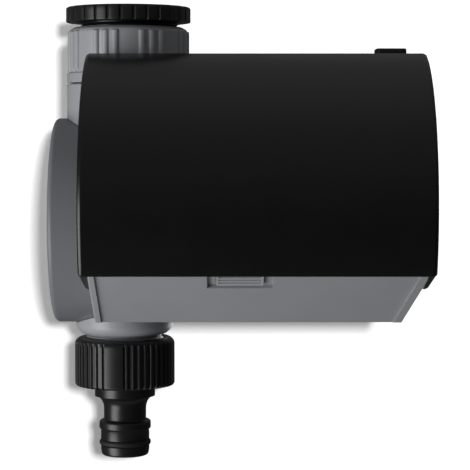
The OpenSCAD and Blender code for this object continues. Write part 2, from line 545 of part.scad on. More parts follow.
// The rear shell in side view: square at the back, coved at the top front for the lid's heel
function tub_outline(d) =
  let (cove_r = 6.9, top_y = hinge[0] + cove_r + d, low = box_bottom + d, high = box_top - d,
       back = box_back - d, r = 4 - d * 0.9)
  concat(
    [[seam_y, seam_top - d * 0.9], [seam_y, low]],
    corner([seam_y, low], [back, low], [back, high], r),
    corner([back, low], [back, high], [top_y, high], r),
    corner([back, high], [top_y, high], [top_y, box_top - 9], 1.2),
    d > 0 ? [[top_y, -28], [seam_y + 2, -31]] : arc(hinge, cove_r, 0, -acos(4 / cove_r), 8));
module rear_case() color([0.42, 0.43, 0.46]) difference() {
  union() {
    difference() {
      yz(tub_x0, case_x1) polygon(tub_outline(0));
      yz(tub_x0 + wall, case_x1 - wall) polygon(concat([[seam_y - 1, -31], [seam_y - 1, box_bottom + wall]],
        [for (p = tub_outline(wall)) if (p[0] > seam_y + 0.5) p]));
    }
    // cover plate in front of the valve, bulged round the drum
    block([case_x0, seam_y, box_bottom], [tub_x0 + 1, seam_y + 2, seam_top]);
    intersection() {
      along_x(case_x0, 0, dz) cylinder(r = drum_r + 2.4, h = tub_x0 + wall - case_x0);
      block([case_x0, -60, box_bottom + 0.1], [tub_x0 + wall, seam_y + 2, seam_top]);
    }
    // lower right wall behind the slant
    bevel_wall();
    // deep screw tubes and the battery pocket
    for (p = deep_screws) along_y(p[0], seam_y, p[1]) cylinder(r = 4.2, h = 12);
    for (p = deep_screws) along_y(p[0], seam_y + 11, p[1]) cylinder(r = 4.6, h = box_back - seam_y - 11);
    block([pocket_x[0] - 1.6, 0.2, pocket_z[0] - 1.6], [pocket_x[1] + 1.6, box_back, pocket_z[1] + 1.6]);
    // hinge barrel of the battery door
    along_x(door_c - 5.7, door_hinge[0], door_hinge[1]) cylinder(r = 1.7, h = 11.4);
    block([door_c - 5.7, box_back - 1, door_hinge[1] - 1.7], [door_c + 5.7, door_hinge[0], door_hinge[1]]);
  }
  bevel_cut(-80, 60);
  // the drum's saddle and the swivel nut's clearance
  along_x(case_x0 - 1, 0, dz) cylinder(r = drum_r + 0.3, h = tub_x0 - case_x0 + 1);
  rod(-60, 0, nut_r + 0.55);
  // solenoid opening and the mounting screws
  along_x(tub_x0 - 1, 0, dz) cylinder(r = 13.4, h = 5);
  along_x(tub_x0 - 1, 0, dz) at_mount_screws() cylinder(r = 1.9, h = 5);
  // battery pocket, door opening with its rebate, and the door pin
  block([pocket_x[0], 1.8, pocket_z[0]], [pocket_x[1], box_back - wall, pocket_z[1]]);
  block([door_x[0], 10, door_z[0]], [door_x[1], box_back + 1, door_z[1]]);
  along_x(door_c - 6, door_hinge[0], door_hinge[1]) cylinder(r = 0.9 + eps, h = 12);
  // screws
  for (p = seam_screws) along_y(p[0], seam_y - 1, p[1]) cylinder(r = 1.75, h = 5);
  for (p = deep_screws) {
    along_y(p[0], seam_y - 1, p[1]) cylinder(r = 1.75, h = 60);
    along_y(p[0], seam_y + 6, p[1]) cylinder(r = 3.3, h = 60);
  }
  // sensor socket in the top, and gasket groove
  rod_at(socket_x, socket_y, -24, 0, 3.3);
  gasket_groove();
}
module rod_at(x, y, z0, z1, r) translate([x, y, z0]) cylinder(r = r, h = z1 - z0);
module bevel_wall() intersection() {
  xz(seam_y, box_back - 0.5) polygon([
    [case_x1, bevel_z + 4], [case_x1 - wall, bevel_z + 4], [case_x1 - wall - 0.4, bevel_z],
    [case_x1 - bevel_w - wall - 0.6, box_bottom + 0.4], [case_x1, box_bottom + 0.4]]);
  yz(tub_x0, case_x1) polygon(tub_outline(0));
}
module case_screws() color([0.75, 0.76, 0.78]) {
  for (p = seam_screws) along_y(p[0], seam_y + 2 + eps, p[1]) screw(2.7, 1.7, 1.4, 11.6);
  for (p = deep_screws) along_y(p[0], seam_y + 6 + eps, p[1]) screw(3, 2, 1.4, 15.6);
}

// ---- lid ----
function lid_foot() = [curve_c[0] - sqrt(lid_r * lid_r - pow(lid_foot_z - curve_c[1], 2)), lid_foot_z];
function lid_heel() = [lid_back_y, curve_c[1] + sqrt(lid_r * lid_r - pow(lid_back_y - curve_c[0], 2))];
// The lid's curve at radius r, from its front edge up and over to its heel
function lid_curve(r) =
  arc(curve_c, r, 360 + angle_at(curve_c, lid_foot()), angle_at(curve_c, lid_heel()), 36);
// Side flange: the curve, the hinge eye, a hollow round the drum, and the tip under the front edge
function lid_side() = concat(
  lid_curve(lid_r), [[-25.2, -17.6]],
  arc([hinge[0] + 0.6, hinge[1]], 4.2, 35, -25, 5),
  arc([0, dz], drum_r + 1.2, 143, 202, 12),
  corner([-32.9, -85], [-33.4, -92.4], [-59, -86], 2.4, 5));
function reversed(p) = [for (i = [len(p) - 1:-1:0]) p[i]];
module lid() color([0.07, 0.07, 0.075]) difference() {
  union() {
    for (x = [lid_x0, lid_x1 - lid_wall]) yz(x, x + lid_wall) polygon(lid_side());
    yz(lid_x0, lid_x1) polygon(concat(lid_curve(lid_r), reversed(lid_curve(lid_r - lid_wall))));
    // catch behind the front edge
    yz(latch_c - 6, latch_c + 6) polygon([
      [-61.4, -82.5], [-61.9, -80.5], [-57.6, -82.6], [-57.6, -83.6], [-58.6, -84.2], [-61, -84.2]]);
  }
  along_x(lid_x0 - 1, hinge[0], hinge[1]) cylinder(r = hinge_pin_r + 0.05, h = 4);
  along_x(lid_x1 - 3, hinge[0], hinge[1]) cylinder(r = hinge_pin_r + 0.05, h = 4);
}
module hinge_pins() color([0.75, 0.76, 0.78]) {
  along_x(lid_x0 + 0.3, hinge[0], hinge[1]) cylinder(r = hinge_pin_r, h = 7);
  along_x(lid_x1 - 7.3, hinge[0], hinge[1]) cylinder(r = hinge_pin_r, h = 7);
}
// Ribbed thumb pad that slides into the box to free the lid
module lid_latch() color([0.45, 0.46, 0.49]) on_slope(latch_c - latch_w / 2, 0.15) difference() {
  translate([0, 0, 0.75]) cube([latch_w, 6, 4.2]);
  for (k = [0:2]) translate([1.4, 1.3 + 1.55 * k, 0]) cube([latch_w - 2.8, 0.7, 1.3]);
}

// ---- display, keys and board ----
module display_window() color([0.75, 0.8, 0.82, 0.35]) translate([display_c[0], 0, display_c[1]])
  xz(fascia_y + eps, fascia_y + 1.18) soft_rect(display_w + 3.8, display_h + 3.8, 1.9);
module lcd_panel() color([0.62, 0.68, 0.6]) translate([display_c[0], 0, display_c[1]])
  xz(fascia_y + wall + 0.3, board_y - eps) soft_rect(display_w + 3, display_h + 3, 0.8);
module circuit_board() color([0.1, 0.35, 0.2]) difference() {
  block([-6.7, board_y, -83.5], [89.5, board_y + board_t, -44.5]);
  for (p = board_posts) along_y(p[0], board_y - 1, p[1]) cylinder(r = 1.3, h = 4);
}
module board_screws() color([0.75, 0.76, 0.78])
  for (p = board_posts) along_y(p[0], board_y + board_t + eps, p[1]) screw(2.1, 1.4, 1, 6.4);
module switches() color([0.15, 0.15, 0.16]) {
  for (x = keys_x) tact(x, keys_z);
  tact(manual_c[0], manual_c[1]);
}
module tact(x, z) {
  translate([x - 3, board_y - 1.9, z - 2.9]) cube([6, 1.9 - eps, 5.8]);
  along_y(x, board_y - 2.3, z) cylinder(r = 1.6, h = 0.6);
}
module status_led() color([0.75, 0.2, 0.15]) along_y(led_c[0], fascia_y + 0.3, led_c[1]) {
  cylinder(r = 1.5, h = 3.2);
  translate([0, 0, 3.1]) cylinder(r = 1.9, h = board_y - fascia_y - 3.5);
}
module board_components() color([0.13, 0.13, 0.14]) {
  y = board_y + board_t + eps;
  block([30, y, -70], [40, y + 1.6, -60]);
  block([50, y, -66], [55, y + 1.4, -62]);
  block([8, y, -58], [20, y + 6, -52]);
  block([8, y, -74], [14, y + 5.5, -68]);
  for (x = [62, 72]) along_y(x, y, -54) cylinder(r = 3.2, h = 9);
  along_y(46, y, -76) cylinder(r = 1.6, h = 5);
}
module key(x, w, h, r = 0) translate([x, 0, keys_z]) {
  xz(fascia_y - 1.3, fascia_y + wall + 0.1) pill(w, h);
  xz(fascia_y + wall + 0.05, fascia_y + wall + 1.05) pill(w + 2, h + 2);
}
module button_mode() color([0.32, 0.33, 0.35]) key(keys_x[0], key_w, key_h);
module button_set() color([0.32, 0.33, 0.35]) key(keys_x[1], key_w, key_h);
module button_minus() color([0.32, 0.33, 0.35]) key(keys_x[2], key_w, key_h);
module button_plus() color([0.32, 0.33, 0.35]) key(keys_x[3], key_w, key_h);
module button_manual() color([0.2, 0.42, 0.62]) along_y(manual_c[0], fascia_y, manual_c[1]) {
  translate([0, 0, -1.6]) cylinder(r = manual_r, h = wall + 1.7);
  translate([0, 0, wall + 0.05]) cylinder(r = manual_r + 1.2, h = 1);
}

// ---- batteries ----
module battery_cells() for (i = [0, 1]) translate([cell_x[i], cell_y, i == 0 ? cell_z[0] : cell_z[1]])
  mirror([0, 0, i]) {
    color([0.16, 0.2, 0.24]) cylinder(r = cell_r, h = 49);
    color([0.8, 0.8, 0.8]) translate([0, 0, 48.9]) cylinder(r = 2.7, h = 1.6);
  }
module battery_contacts() color([0.8, 0.8, 0.8]) {
  for (i = [0, 1]) translate([cell_x[i], cell_y, 0]) {
    flip = i == 0 ? 1 : -1;
    foot = i == 0 ? pocket_z[0] : pocket_z[1];
    head = i == 0 ? pocket_z[1] : pocket_z[0];
    translate([-4.5, -4.5, foot + (flip > 0 ? eps : -0.42)]) cube([9, 9, 0.4]);
    translate([-4.5, -4.5, head + (flip > 0 ? -0.42 : eps)]) cube([9, 9, 0.4]);
    translate([0, 0, foot + flip * 0.75]) wire(helix(4, 2.4, flip * 2.2, 2, 12), 0.3, 6);
  }
}
module battery_door() color([0.42, 0.43, 0.46]) {
  difference() {
    block([door_x[0] + 0.25, box_back - wall, door_z[0] + 0.25],
      [door_x[1] - 0.25, box_back, door_z[1] - 0.25]);
    // finger ridges
    for (k = [0:3]) translate([door_c - 5, box_back - 0.6, door_z[1] - 8 + 1.8 * k]) cube([10, 1.6, 0.9]);
  }
  for (x = [door_c - 12, door_c + 6]) difference() {
    union() {
      along_x(x, door_hinge[0], door_hinge[1]) cylinder(r = 1.7, h = 6);
      yz(x, x + 6) polygon([
        [box_back - 0.8, door_z[0] + 0.5], [box_back - 0.8, door_z[0] + 4], [box_back + 0.8, door_z[0] + 3],
        door_hinge + [1.6, 0.4], door_hinge + [-0.6, 1.4], [box_back + 0.3, door_z[0] + 0.3]]);
    }
    along_x(x - 1, door_hinge[0], door_hinge[1]) cylinder(r = 0.95, h = 8);
  }
}
module door_pin() color([0.75, 0.76, 0.78])
  along_x(door_c - 11.8, door_hinge[0], door_hinge[1]) cylinder(r = 0.9, h = 23.6);
// Two strands each, from the board's back to the battery pocket and to the coil's terminal
module battery_wires() for (i = [0, 1]) color(i == 0 ? [0.7, 0.1, 0.1] : [0.1, 0.1, 0.1])
  wire(bezier([
    [44 + 3 * i, board_y + board_t + 0.9, -50], [40, -20, -50 - 2 * i],
    [38, -6, -58 + 20 * i], [46.4, 8, -52 + 3 * i]]), 0.7, 6);
module solenoid_wires() for (i = [0, 1]) color(i == 0 ? [0.75, 0.6, 0.1] : [0.2, 0.25, 0.6])
  wire(bezier([
    [28 + 2 * i, 14.9, dz + 1.5 * (2 * i - 1)], [29 + 2 * i, 20, -94],
    [29 + 2 * i, -25, -100], [26 + 3 * i, board_y + board_t + 0.9, -80]]), 0.7, 6);

// ---- rain sensor socket ----
module sensor_socket() color([0.1, 0.1, 0.11]) difference() {
  rod_at(socket_x, socket_y, -28.9, box_top - wall - eps, 3.8);
  rod_at(socket_x, socket_y, -28, -10, 2.6);
}
module sensor_plug() color([0.06, 0.06, 0.065]) {
  translate([socket_x, (plug_y[0] + plug_y[1]) / 2, box_top + eps])
    linear_extrude(3.5) soft_rect(plug_x[1] - plug_x[0], plug_y[1] - plug_y[0], 1.6);
  rod_at(socket_x, socket_y, -27, box_top + 1, 2.5);
  rod_at(socket_x, socket_y, box_top - wall + 0.1, box_top + 1, 3.2);
}

valve_body();
valve_cap();
cap_screws();
diaphragm();
diaphragm_spring();
valve_disc();
solenoid_tube();
solenoid_screws();
coil_bobbin();
coil_winding();
coil_clip();
solenoid_core();
plunger();
plunger_seal();
plunger_spring();
body_seal();
valve_mount_screws();
inlet_nut();
nut_clip();
inlet_seal();
inlet_filter();
filter_mesh();
inlet_adapter();
tap_washer();
hose_connector();
nozzle_ring();
outlet_washer();
front_case();
rear_case();
case_gasket();
case_screws();
lid();
hinge_pins();
lid_latch();
display_window();
lcd_panel();
circuit_board();
board_components();
board_screws();
switches();
status_led();
button_mode();
button_set();
button_minus();
button_plus();
button_manual();
battery_cells();
battery_contacts();
battery_door();
door_pin();
battery_wires();
solenoid_wires();
sensor_socket();
sensor_plug();
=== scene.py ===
import bpy
import bmesh
import json
import math
import numpy as np
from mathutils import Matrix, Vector


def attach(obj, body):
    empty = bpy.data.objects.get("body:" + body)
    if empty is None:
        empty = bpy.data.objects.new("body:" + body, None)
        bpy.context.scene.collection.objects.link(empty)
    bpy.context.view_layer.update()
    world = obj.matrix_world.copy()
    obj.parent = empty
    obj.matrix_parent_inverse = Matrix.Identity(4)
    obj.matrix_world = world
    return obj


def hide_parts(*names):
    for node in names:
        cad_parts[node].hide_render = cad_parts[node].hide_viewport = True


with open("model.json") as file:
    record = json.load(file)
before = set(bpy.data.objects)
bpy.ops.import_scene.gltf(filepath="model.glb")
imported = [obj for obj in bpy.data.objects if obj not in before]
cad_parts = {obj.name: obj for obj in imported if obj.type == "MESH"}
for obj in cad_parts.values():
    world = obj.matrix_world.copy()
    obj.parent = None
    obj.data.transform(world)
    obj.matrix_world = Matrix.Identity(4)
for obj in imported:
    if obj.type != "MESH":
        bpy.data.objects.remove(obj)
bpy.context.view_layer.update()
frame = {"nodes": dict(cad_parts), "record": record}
MM = 0.001
scene = bpy.context.scene


# ---------------------------------------------------------------- materials
CLOUDS, PATCHES, SMEARS, BRUSH_LINES = 55, 260, 90, 900


def mix_color(nt, a, b, factor):
    n = nt.nodes.new("ShaderNodeMix")
    n.data_type = "RGBA"
    n.clamp_factor = True
    n.inputs["A"].default_value = (*a, 1)
    n.inputs["B"].default_value = (*b, 1)
    nt.links.new(factor, n.inputs["Factor"])
    return n.outputs["Result"]


def noise(nt, coord, scale, detail=3, rough=0.5, distortion=0.0):
    n = nt.nodes.new("ShaderNodeTexNoise")
    n.inputs["Scale"].default_value = scale
    n.inputs["Detail"].default_value = detail
    n.inputs["Roughness"].default_value = rough
    n.inputs["Distortion"].default_value = distortion
    nt.links.new(coord, n.inputs["Vector"])
    return n.outputs["Fac"]


def remap(nt, value, lo, hi, a=0.0, b=1.0):
    n = nt.nodes.new("ShaderNodeMapRange")
    n.clamp = True
    for k, v in (("From Min", lo), ("From Max", hi), ("To Min", a), ("To Max", b)):
        n.inputs[k].default_value = v
    nt.links.new(value, n.inputs["Value"])
    return n.outputs["Result"]


def math_node(nt, op, a, b=None):
    n = nt.nodes.new("ShaderNodeMath")
    n.operation = op
    for i, v in enumerate((a, b)):
        if v is None:
            continue
        if isinstance(v, (int, float)):
            n.inputs[i].default_value = v
        else:
            nt.links.new(v, n.inputs[i])
    return n.outputs[0]


def surface(name, color, rough, rough_spread, vary, grain, bump, wear=0.08, metallic=0.0, coat=0.0,
            alpha=1.0, brushed=None, edge=0.35):
    """A moulded or machined finish: cloudy colour, uneven gloss, fine grain, lighter worn edges."""
    m = bpy.data.materials.new(name)
    m.use_nodes = True
    nt = m.node_tree
    bsdf = nt.nodes["Principled BSDF"]
    coord = nt.nodes.new("ShaderNodeTexCoord").outputs["Object"]
    if brushed:
        mp = nt.nodes.new("ShaderNodeMapping")
        mp.inputs["Scale"].default_value = brushed
        nt.links.new(coord, mp.inputs["Vector"])
        fine = noise(nt, mp.outputs["Vector"], BRUSH_LINES, 4, 0.6)
    else:
        fine = noise(nt, coord, grain, 4, 0.6)
    cloud = noise(nt, coord, CLOUDS, 3, 0.55)
    dark = [c * (1 - vary) for c in color]
    light = [min(1, c * (1 + vary)) for c in color]
    col = mix_color(nt, dark, light, remap(nt, cloud, 0.3, 0.7))
    bevel = nt.nodes.new("ShaderNodeBevel")
    bevel.samples = 4
    bevel.inputs["Radius"].default_value = edge * MM
    geo = nt.nodes.new("ShaderNodeNewGeometry")
    dot = nt.nodes.new("ShaderNodeVectorMath")
    dot.operation = "DOT_PRODUCT"
    nt.links.new(bevel.outputs["Normal"], dot.inputs[0])
    nt.links.new(geo.outputs["Normal"], dot.inputs[1])
    patchy = remap(nt, noise(nt, coord, PATCHES, 3), 0.35, 0.65)
    worn = math_node(nt, "MULTIPLY", remap(nt, dot.outputs["Value"], 0.995, 0.90, 0, wear), patchy)
    mix = nt.nodes.new("ShaderNodeMix")
    mix.data_type = "RGBA"
    nt.links.new(worn, mix.inputs["Factor"])
    nt.links.new(col, mix.inputs["A"])
    mix.inputs["B"].default_value = (*[min(1, c * 1.8 + 0.05) for c in color], 1)
    nt.links.new(mix.outputs["Result"], bsdf.inputs["Base Color"])
    smear = noise(nt, coord, SMEARS, 4, 0.6, 0.4)
    smooth, dull = max(0.02, rough - rough_spread), min(1, rough + rough_spread)
    nt.links.new(remap(nt, smear, 0.25, 0.75, smooth, dull), bsdf.inputs["Roughness"])
    b = nt.nodes.new("ShaderNodeBump")
    b.inputs["Strength"].default_value = bump
    b.inputs["Distance"].default_value = 0.05 * MM
    nt.links.new(fine, b.inputs["Height"])
    nt.links.new(bevel.outputs["Normal"], b.inputs["Normal"])
    nt.links.new(b.outputs["Normal"], bsdf.inputs["Normal"])
    bsdf.inputs["Metallic"].default_value = metallic
    bsdf.inputs["Coat Weight"].default_value = coat
    bsdf.inputs["Coat Roughness"].default_value = 0.1
    bsdf.inputs["Alpha"].default_value = alpha
    return m


NUT = (0.40, 0.41, 0.43)
BLACK = (0.010, 0.010, 0.011)
RUBBER = (0.011, 0.011, 0.012)
ZINC = (0.60, 0.60, 0.62)
WINDOW = (0.30, 0.32, 0.33)
GOLD, CELL_BAND_Z = (0.62, 0.40, 0.13), -0.051
# name, colour, roughness and its spread, cloudiness, grain, bump
M = {
    "body_grey": surface("BodyGrey", NUT, 0.38, 0.05, 0.03, 1500, 0.10),
    "case_grey": surface("CaseGrey", (0.35, 0.36, 0.38), 0.38, 0.05, 0.03, 1500, 0.10),
    "cap_grey": surface("CapGrey", (0.225, 0.23, 0.248), 0.42, 0.05, 0.03, 1500, 0.12),
    "nut_grey": surface("NutGrey", NUT, 0.36, 0.05, 0.03, 1500, 0.10),
    "black_plastic": surface("BlackPlastic", BLACK, 0.34, 0.06, 0.10, 1300, 0.14, wear=0.05),
    "lid_black": surface("LidBlack", (0.004, 0.004, 0.0042), 0.30, 0.03, 0.05, 2200, 0.05,
                         wear=0.03, edge=0.3),
    "black_rubber": surface("BlackRubber", RUBBER, 0.62, 0.08, 0.12, 1100, 0.2, wear=0.04),
    "white_plastic": surface("WhitePlastic", (0.62, 0.62, 0.60), 0.45, 0.05, 0.03, 1400, 0.08),
    "steel": surface("Steel", ZINC, 0.30, 0.08, 0.05, 900, 0.12, metallic=1.0, brushed=(1, 1, 14)),
    "copper": surface("Copper", (0.62, 0.25, 0.10), 0.32, 0.08, 0.08, 900, 0.3,
                      metallic=1.0, brushed=(10, 1, 1)),
    "clear": surface("ClearWindow", WINDOW, 0.06, 0.02, 0.01, 900, 0.01, alpha=0.08, wear=0.0),
    "lcd": surface("Lcd", (0.17, 0.205, 0.14), 0.22, 0.03, 0.02, 2600, 0.03, coat=0.3),
    "board_green": surface("BoardGreen", (0.012, 0.10, 0.04), 0.30, 0.05, 0.12, 700, 0.12, coat=0.3),
    "key_grey": surface("KeyGrey", (0.11, 0.115, 0.125), 0.55, 0.06, 0.05, 1300, 0.15),
    "key_blue": surface("KeyBlue", (0.025, 0.12, 0.26), 0.5, 0.06, 0.05, 1300, 0.15),
    "red_plastic": surface("RedPlastic", (0.42, 0.02, 0.015), 0.3, 0.05, 0.08, 1200, 0.08),
    "ink": surface("DisplayInk", (0.012, 0.014, 0.012), 0.35, 0.05, 0.1, 2400, 0.03, wear=0.0),
    "cell_wrap": surface("CellWrap", (0.03, 0.045, 0.07), 0.25, 0.05, 0.05, 1200, 0.05, coat=0.4),
}


def band(material, level, color):
    """Paints whatever lies above level (metres) in a second colour."""
    nt = material.node_tree
    bsdf = nt.nodes["Principled BSDF"]
    base = bsdf.inputs["Base Color"].links[0].from_socket
    split = nt.nodes.new("ShaderNodeSeparateXYZ")
    nt.links.new(nt.nodes.new("ShaderNodeTexCoord").outputs["Object"], split.inputs["Vector"])
    mix = nt.nodes.new("ShaderNodeMix")
    mix.data_type = "RGBA"
    nt.links.new(remap(nt, split.outputs["Z"], level, level + 0.0002), mix.inputs["Factor"])
    nt.links.new(base, mix.inputs["A"])
    mix.inputs["B"].default_value = (*color, 1)
    nt.links.new(mix.outputs["Result"], bsdf.inputs["Base Color"])


band(M["cell_wrap"], CELL_BAND_Z, GOLD)
slot_of = {s["node"]: s["material_slot"] for s in frame["record"]["subparts"]}
for name, ob in frame["nodes"].items():
    ob.data.materials.clear()
    ob.data.materials.append(M["cap_grey" if name == "valve_cap" else slot_of[name]])


# ---------------------------------------------------------------- mesh tools, in millimetres
TURN_ABOUT = {
    "x": lambda u, v, w: (w, u, v),
    "y": lambda u, v, w: (v, w, u),
    "z": lambda u, v, w: (u, v, w),
}
DRAWN_IN = {
    "yz": lambda s, u, v: (s, u, v),
    "xz": lambda s, u, v: (u, s, v),
    "xy": lambda s, u, v: (u, v, s),
}


def new_object(name, verts, faces):
    me = bpy.data.meshes.new(name)
    me.from_pydata([tuple(float(c) * MM for c in v) for v in verts], [], faces)
    me.validate()
    ob = bpy.data.objects.new(name, me)
    scene.collection.objects.link(ob)
    return ob


def sharpen(ob, angle=32):
    ob.data.shade_smooth()
    ob.data.set_sharp_from_angle(angle=math.radians(angle))
    return ob


def bake(ob):
    """Applies every modifier of ob."""
    dg = bpy.context.evaluated_depsgraph_get()
    dg.update()
    me = bpy.data.meshes.new_from_object(ob.evaluated_get(dg), depsgraph=dg)
    old = ob.data
    ob.modifiers.clear()
    ob.data = me
    bpy.data.meshes.remove(old)
    return ob


def boolean(ob, others, op="DIFFERENCE"):
    for o in others:
        m = ob.modifiers.new("b", "BOOLEAN")
        m.operation = op
        m.solver = "EXACT"
        m.object = o
    bake(ob)
    for o in others:
        bpy.data.objects.remove(o)
    return ob


def bevel(ob, width, segments=2, angle=35):
    m = ob.modifiers.new("bev", "BEVEL")
    m.width = width * MM
    m.segments = segments
    m.limit_method = "ANGLE"
    m.angle_limit = math.radians(angle)
    m.use_clamp_overlap = True
    m.harden_normals = False
    return bake(ob)


def piece(ob, material, body, replaces=(), angle=32):
    """Finishes a new piece: shading, material, the body it rides on and the CAD nodes it stands for."""
    sharpen(ob, angle)
    even = ob.modifiers.new("even", "WEIGHTED_NORMAL")
    even.keep_sharp = True
    even.weight = 80
    bake(ob)
    ob.data.materials.clear()
    ob.data.materials.append(M[material])
    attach(ob, body)
    if replaces:
        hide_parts(*replaces)
    return ob


def from_cad(node, name):
    """A clean copy of a CAD node's mesh to refine: welded, with its flat faces merged."""
    weld, flat = 0.002 * MM, math.radians(0.6)
    bm = bmesh.new()
    bm.from_mesh(frame["nodes"][node].data)
    bmesh.ops.remove_doubles(bm, verts=bm.verts, dist=weld)
    bmesh.ops.dissolve_limit(bm, angle_limit=flat, verts=bm.verts, edges=bm.edges)
    me = bpy.data.meshes.new(name)
    bm.to_mesh(me)
    bm.free()
    ob = bpy.data.objects.new(name, me)
    scene.collection.objects.link(ob)
    return ob


def outward(ob):
    """Turns every face of a closed mesh outwards."""
    bm = bmesh.new()
    bm.from_mesh(ob.data)
    bmesh.ops.recalc_face_normals(bm, faces=bm.faces)
    bm.to_mesh(ob.data)
    bm.free()
    return ob


def lathe(name, profile, segs=256, shape=None, origin=(0, 0, 0), axis="z"):
    """Turns a closed [r, z] outline about an axis; shape(theta, r, z) may push the radius in or out."""
    place = TURN_ABOUT[axis]
    verts, rings = [], []
    for r, z in profile:
        turns = 1 if r == 0 else segs
        rings.append([len(verts) + i % turns for i in range(segs)])
        for i in range(turns):
            t = 2 * math.pi * i / segs
            rr = shape(t, r, z) if shape and r else r
            p = place(rr * math.cos(t), rr * math.sin(t), z)
            verts.append(tuple(c + o for c, o in zip(p, origin)))
    faces = []
    for a, b in zip(rings, rings[1:] + rings[:1]):
        for i in range(segs):
            j = (i + 1) % segs
            f = list(dict.fromkeys((a[i], a[j], b[j], b[i])))
            if len(f) > 2:
                faces.append(f)
    return outward(new_object(name, verts, faces))


def rod(name, r, lo, hi, origin=(0, 0, 0), axis="z", segs=64):
    return lathe(name, [(0, lo), (r, lo), (r, hi), (0, hi)], segs, None, origin, axis)


def block(name, a, b):
    """A box between two opposite corners."""
    (x0, y0, z0), (x1, y1, z1) = a, b
    return prism(name, [(y0, z0), (y1, z0), (y1, z1), (y0, z1)], x0, x1)


def arc2(c, r, a0, a1, n):
    """The n + 1 points of an arc about c, from a0 to a1 degrees."""
    angles = [math.radians(a0 + (a1 - a0) * i / n) for i in range(n + 1)]
    return [(c[0] + r * math.cos(a), c[1] + r * math.sin(a)) for a in angles]


def ramp(p, q, n):
    """n points from p towards q, without q."""
    return [(p[0] + (q[0] - p[0]) * i / n, p[1] + (q[1] - p[1]) * i / n) for i in range(n)]


def prism(name, outline, x0, x1, plane="yz", inset=0.0, steps=5, ends=None):
    """Closed outline swept along the third axis, its two end edges rounded by inset.

    ends, a list of (offset, inset), shapes those edges freely instead.
    """
    pts = np.array(outline, float)
    area2 = np.sum(pts[:, 0] * np.roll(pts[:, 1], -1) - np.roll(pts[:, 0], -1) * pts[:, 1])
    if area2 < 0:
        pts = pts[::-1]
    prev, nxt = np.roll(pts, 1, 0), np.roll(pts, -1, 0)
    e0, e1 = pts - prev, nxt - pts
    n0 = np.stack([e0[:, 1], -e0[:, 0]], 1) / np.linalg.norm(e0, axis=1)[:, None]
    n1 = np.stack([e1[:, 1], -e1[:, 0]], 1) / np.linalg.norm(e1, axis=1)[:, None]
    nm = n0 + n1
    nm = nm / np.sum(nm * n0, axis=1)[:, None]
    stations = [(x0, 0.0), (x1, 0.0)]
    if inset:
        a = [math.radians(90 * k / steps) for k in range(steps + 1)]
        stations = [(x0 + inset * (1 - math.cos(t)), inset * (1 - math.sin(t))) for t in a]
        stations += [(x1 - inset * (1 - math.cos(t)), inset * (1 - math.sin(t))) for t in reversed(a)]
    if ends:
        stations = [(x0 + x, d) for x, d in ends] + [(x1 - x, d) for x, d in reversed(ends)]
    n, verts, faces = len(pts), [], []
    for x, d in stations:
        for p in pts - nm * d:
            verts.append(DRAWN_IN[plane](x, *p))
    for s in range(len(stations) - 1):
        for i in range(n):
            j = (i + 1) % n
            faces.append((s * n + i, s * n + j, (s + 1) * n + j, (s + 1) * n + i))
    faces.append(tuple(range(n))[::-1])
    faces.append(tuple(range((len(stations) - 1) * n, len(stations) * n)))
    return outward(new_object(name, verts, faces))


def rounded_outline(pts, n=6):
    """Outline from (x, y, corner radius)."""
    out = []
    k = len(pts)
    for i in range(k):
        a, b, c = (np.array(pts[(i + s) % k][:2], float) for s in (-1, 0, 1))
        r = pts[i][2]
        if r <= 0:
            out.append(tuple(b))
            continue
        u, v = (a - b) / np.linalg.norm(a - b), (c - b) / np.linalg.norm(c - b)
        half = math.acos(max(-1, min(1, float(u @ v)))) / 2
        m = b + (u + v) / np.linalg.norm(u + v) * (r / math.sin(half))
        p, q = b + u * r / math.tan(half), b + v * r / math.tan(half)
        a0, a1 = math.atan2(*(p - m)[::-1]), math.atan2(*(q - m)[::-1])
        d = (a1 - a0 + math.pi) % (2 * math.pi) - math.pi
        angles = [a0 + d * j / n for j in range(n + 1)]
        out += [tuple(m + r * np.array([math.cos(t), math.sin(t)])) for t in angles]
    return out


def rect(w, h, r, cx=0.0, cy=0.0):
    """A w by h rectangle about (cx, cy) with rounded corners."""
    u, v = w / 2, h / 2
    return [(x + cx, y + cy) for x, y in rounded_outline([(-u, -v, r), (u, -v, r), (u, v, r), (-u, v, r)])]


def thread_wave(phase):
    """Height 0..1 of a rounded 55 degree thread across one pitch."""
    p = phase % 1.0
    return max(0.0, min(1.0, (0.5 - abs(p - 0.5)) * 3.2 - 0.3))


# ---------------------------------------------------------------- lid
HINGE = (-28.0, -22.2)
CURVE, LID_R, WALL = (-13.0, -66.7), 52.0, 1.8
LID_X, FLANGE_X = (-12.2, 97.6), (-9.9, 95.7)
LID_FOOT, LID_HEEL = -85.7, -26.0
LID_EDGE = [(0, 0.90), (0.15, 0.55), (0.45, 0.30), (1.0, 0.05), (1.3, 0.0)]
DRUM_Z = -71.4


def on_curve(r, y=None, z=None):
    """The point of the lid's curve of radius r at depth y or height z."""
    if z is not None:
        return (CURVE[0] - math.sqrt(r * r - (z - CURVE[1]) ** 2), z)
    return (y, CURVE[1] + math.sqrt(r * r - (y - CURVE[0]) ** 2))


def ang(c, p):
    return math.degrees(math.atan2(p[1] - c[1], p[0] - c[0])) % 360


def lid_skin(r):
    """The lid's curve at radius r, from its front edge up to its rear edge."""
    foot, heel = on_curve(r, z=LID_FOOT), on_curve(r, y=LID_HEEL)
    return arc2(CURVE, r, ang(CURVE, foot), ang(CURVE, heel), 120)


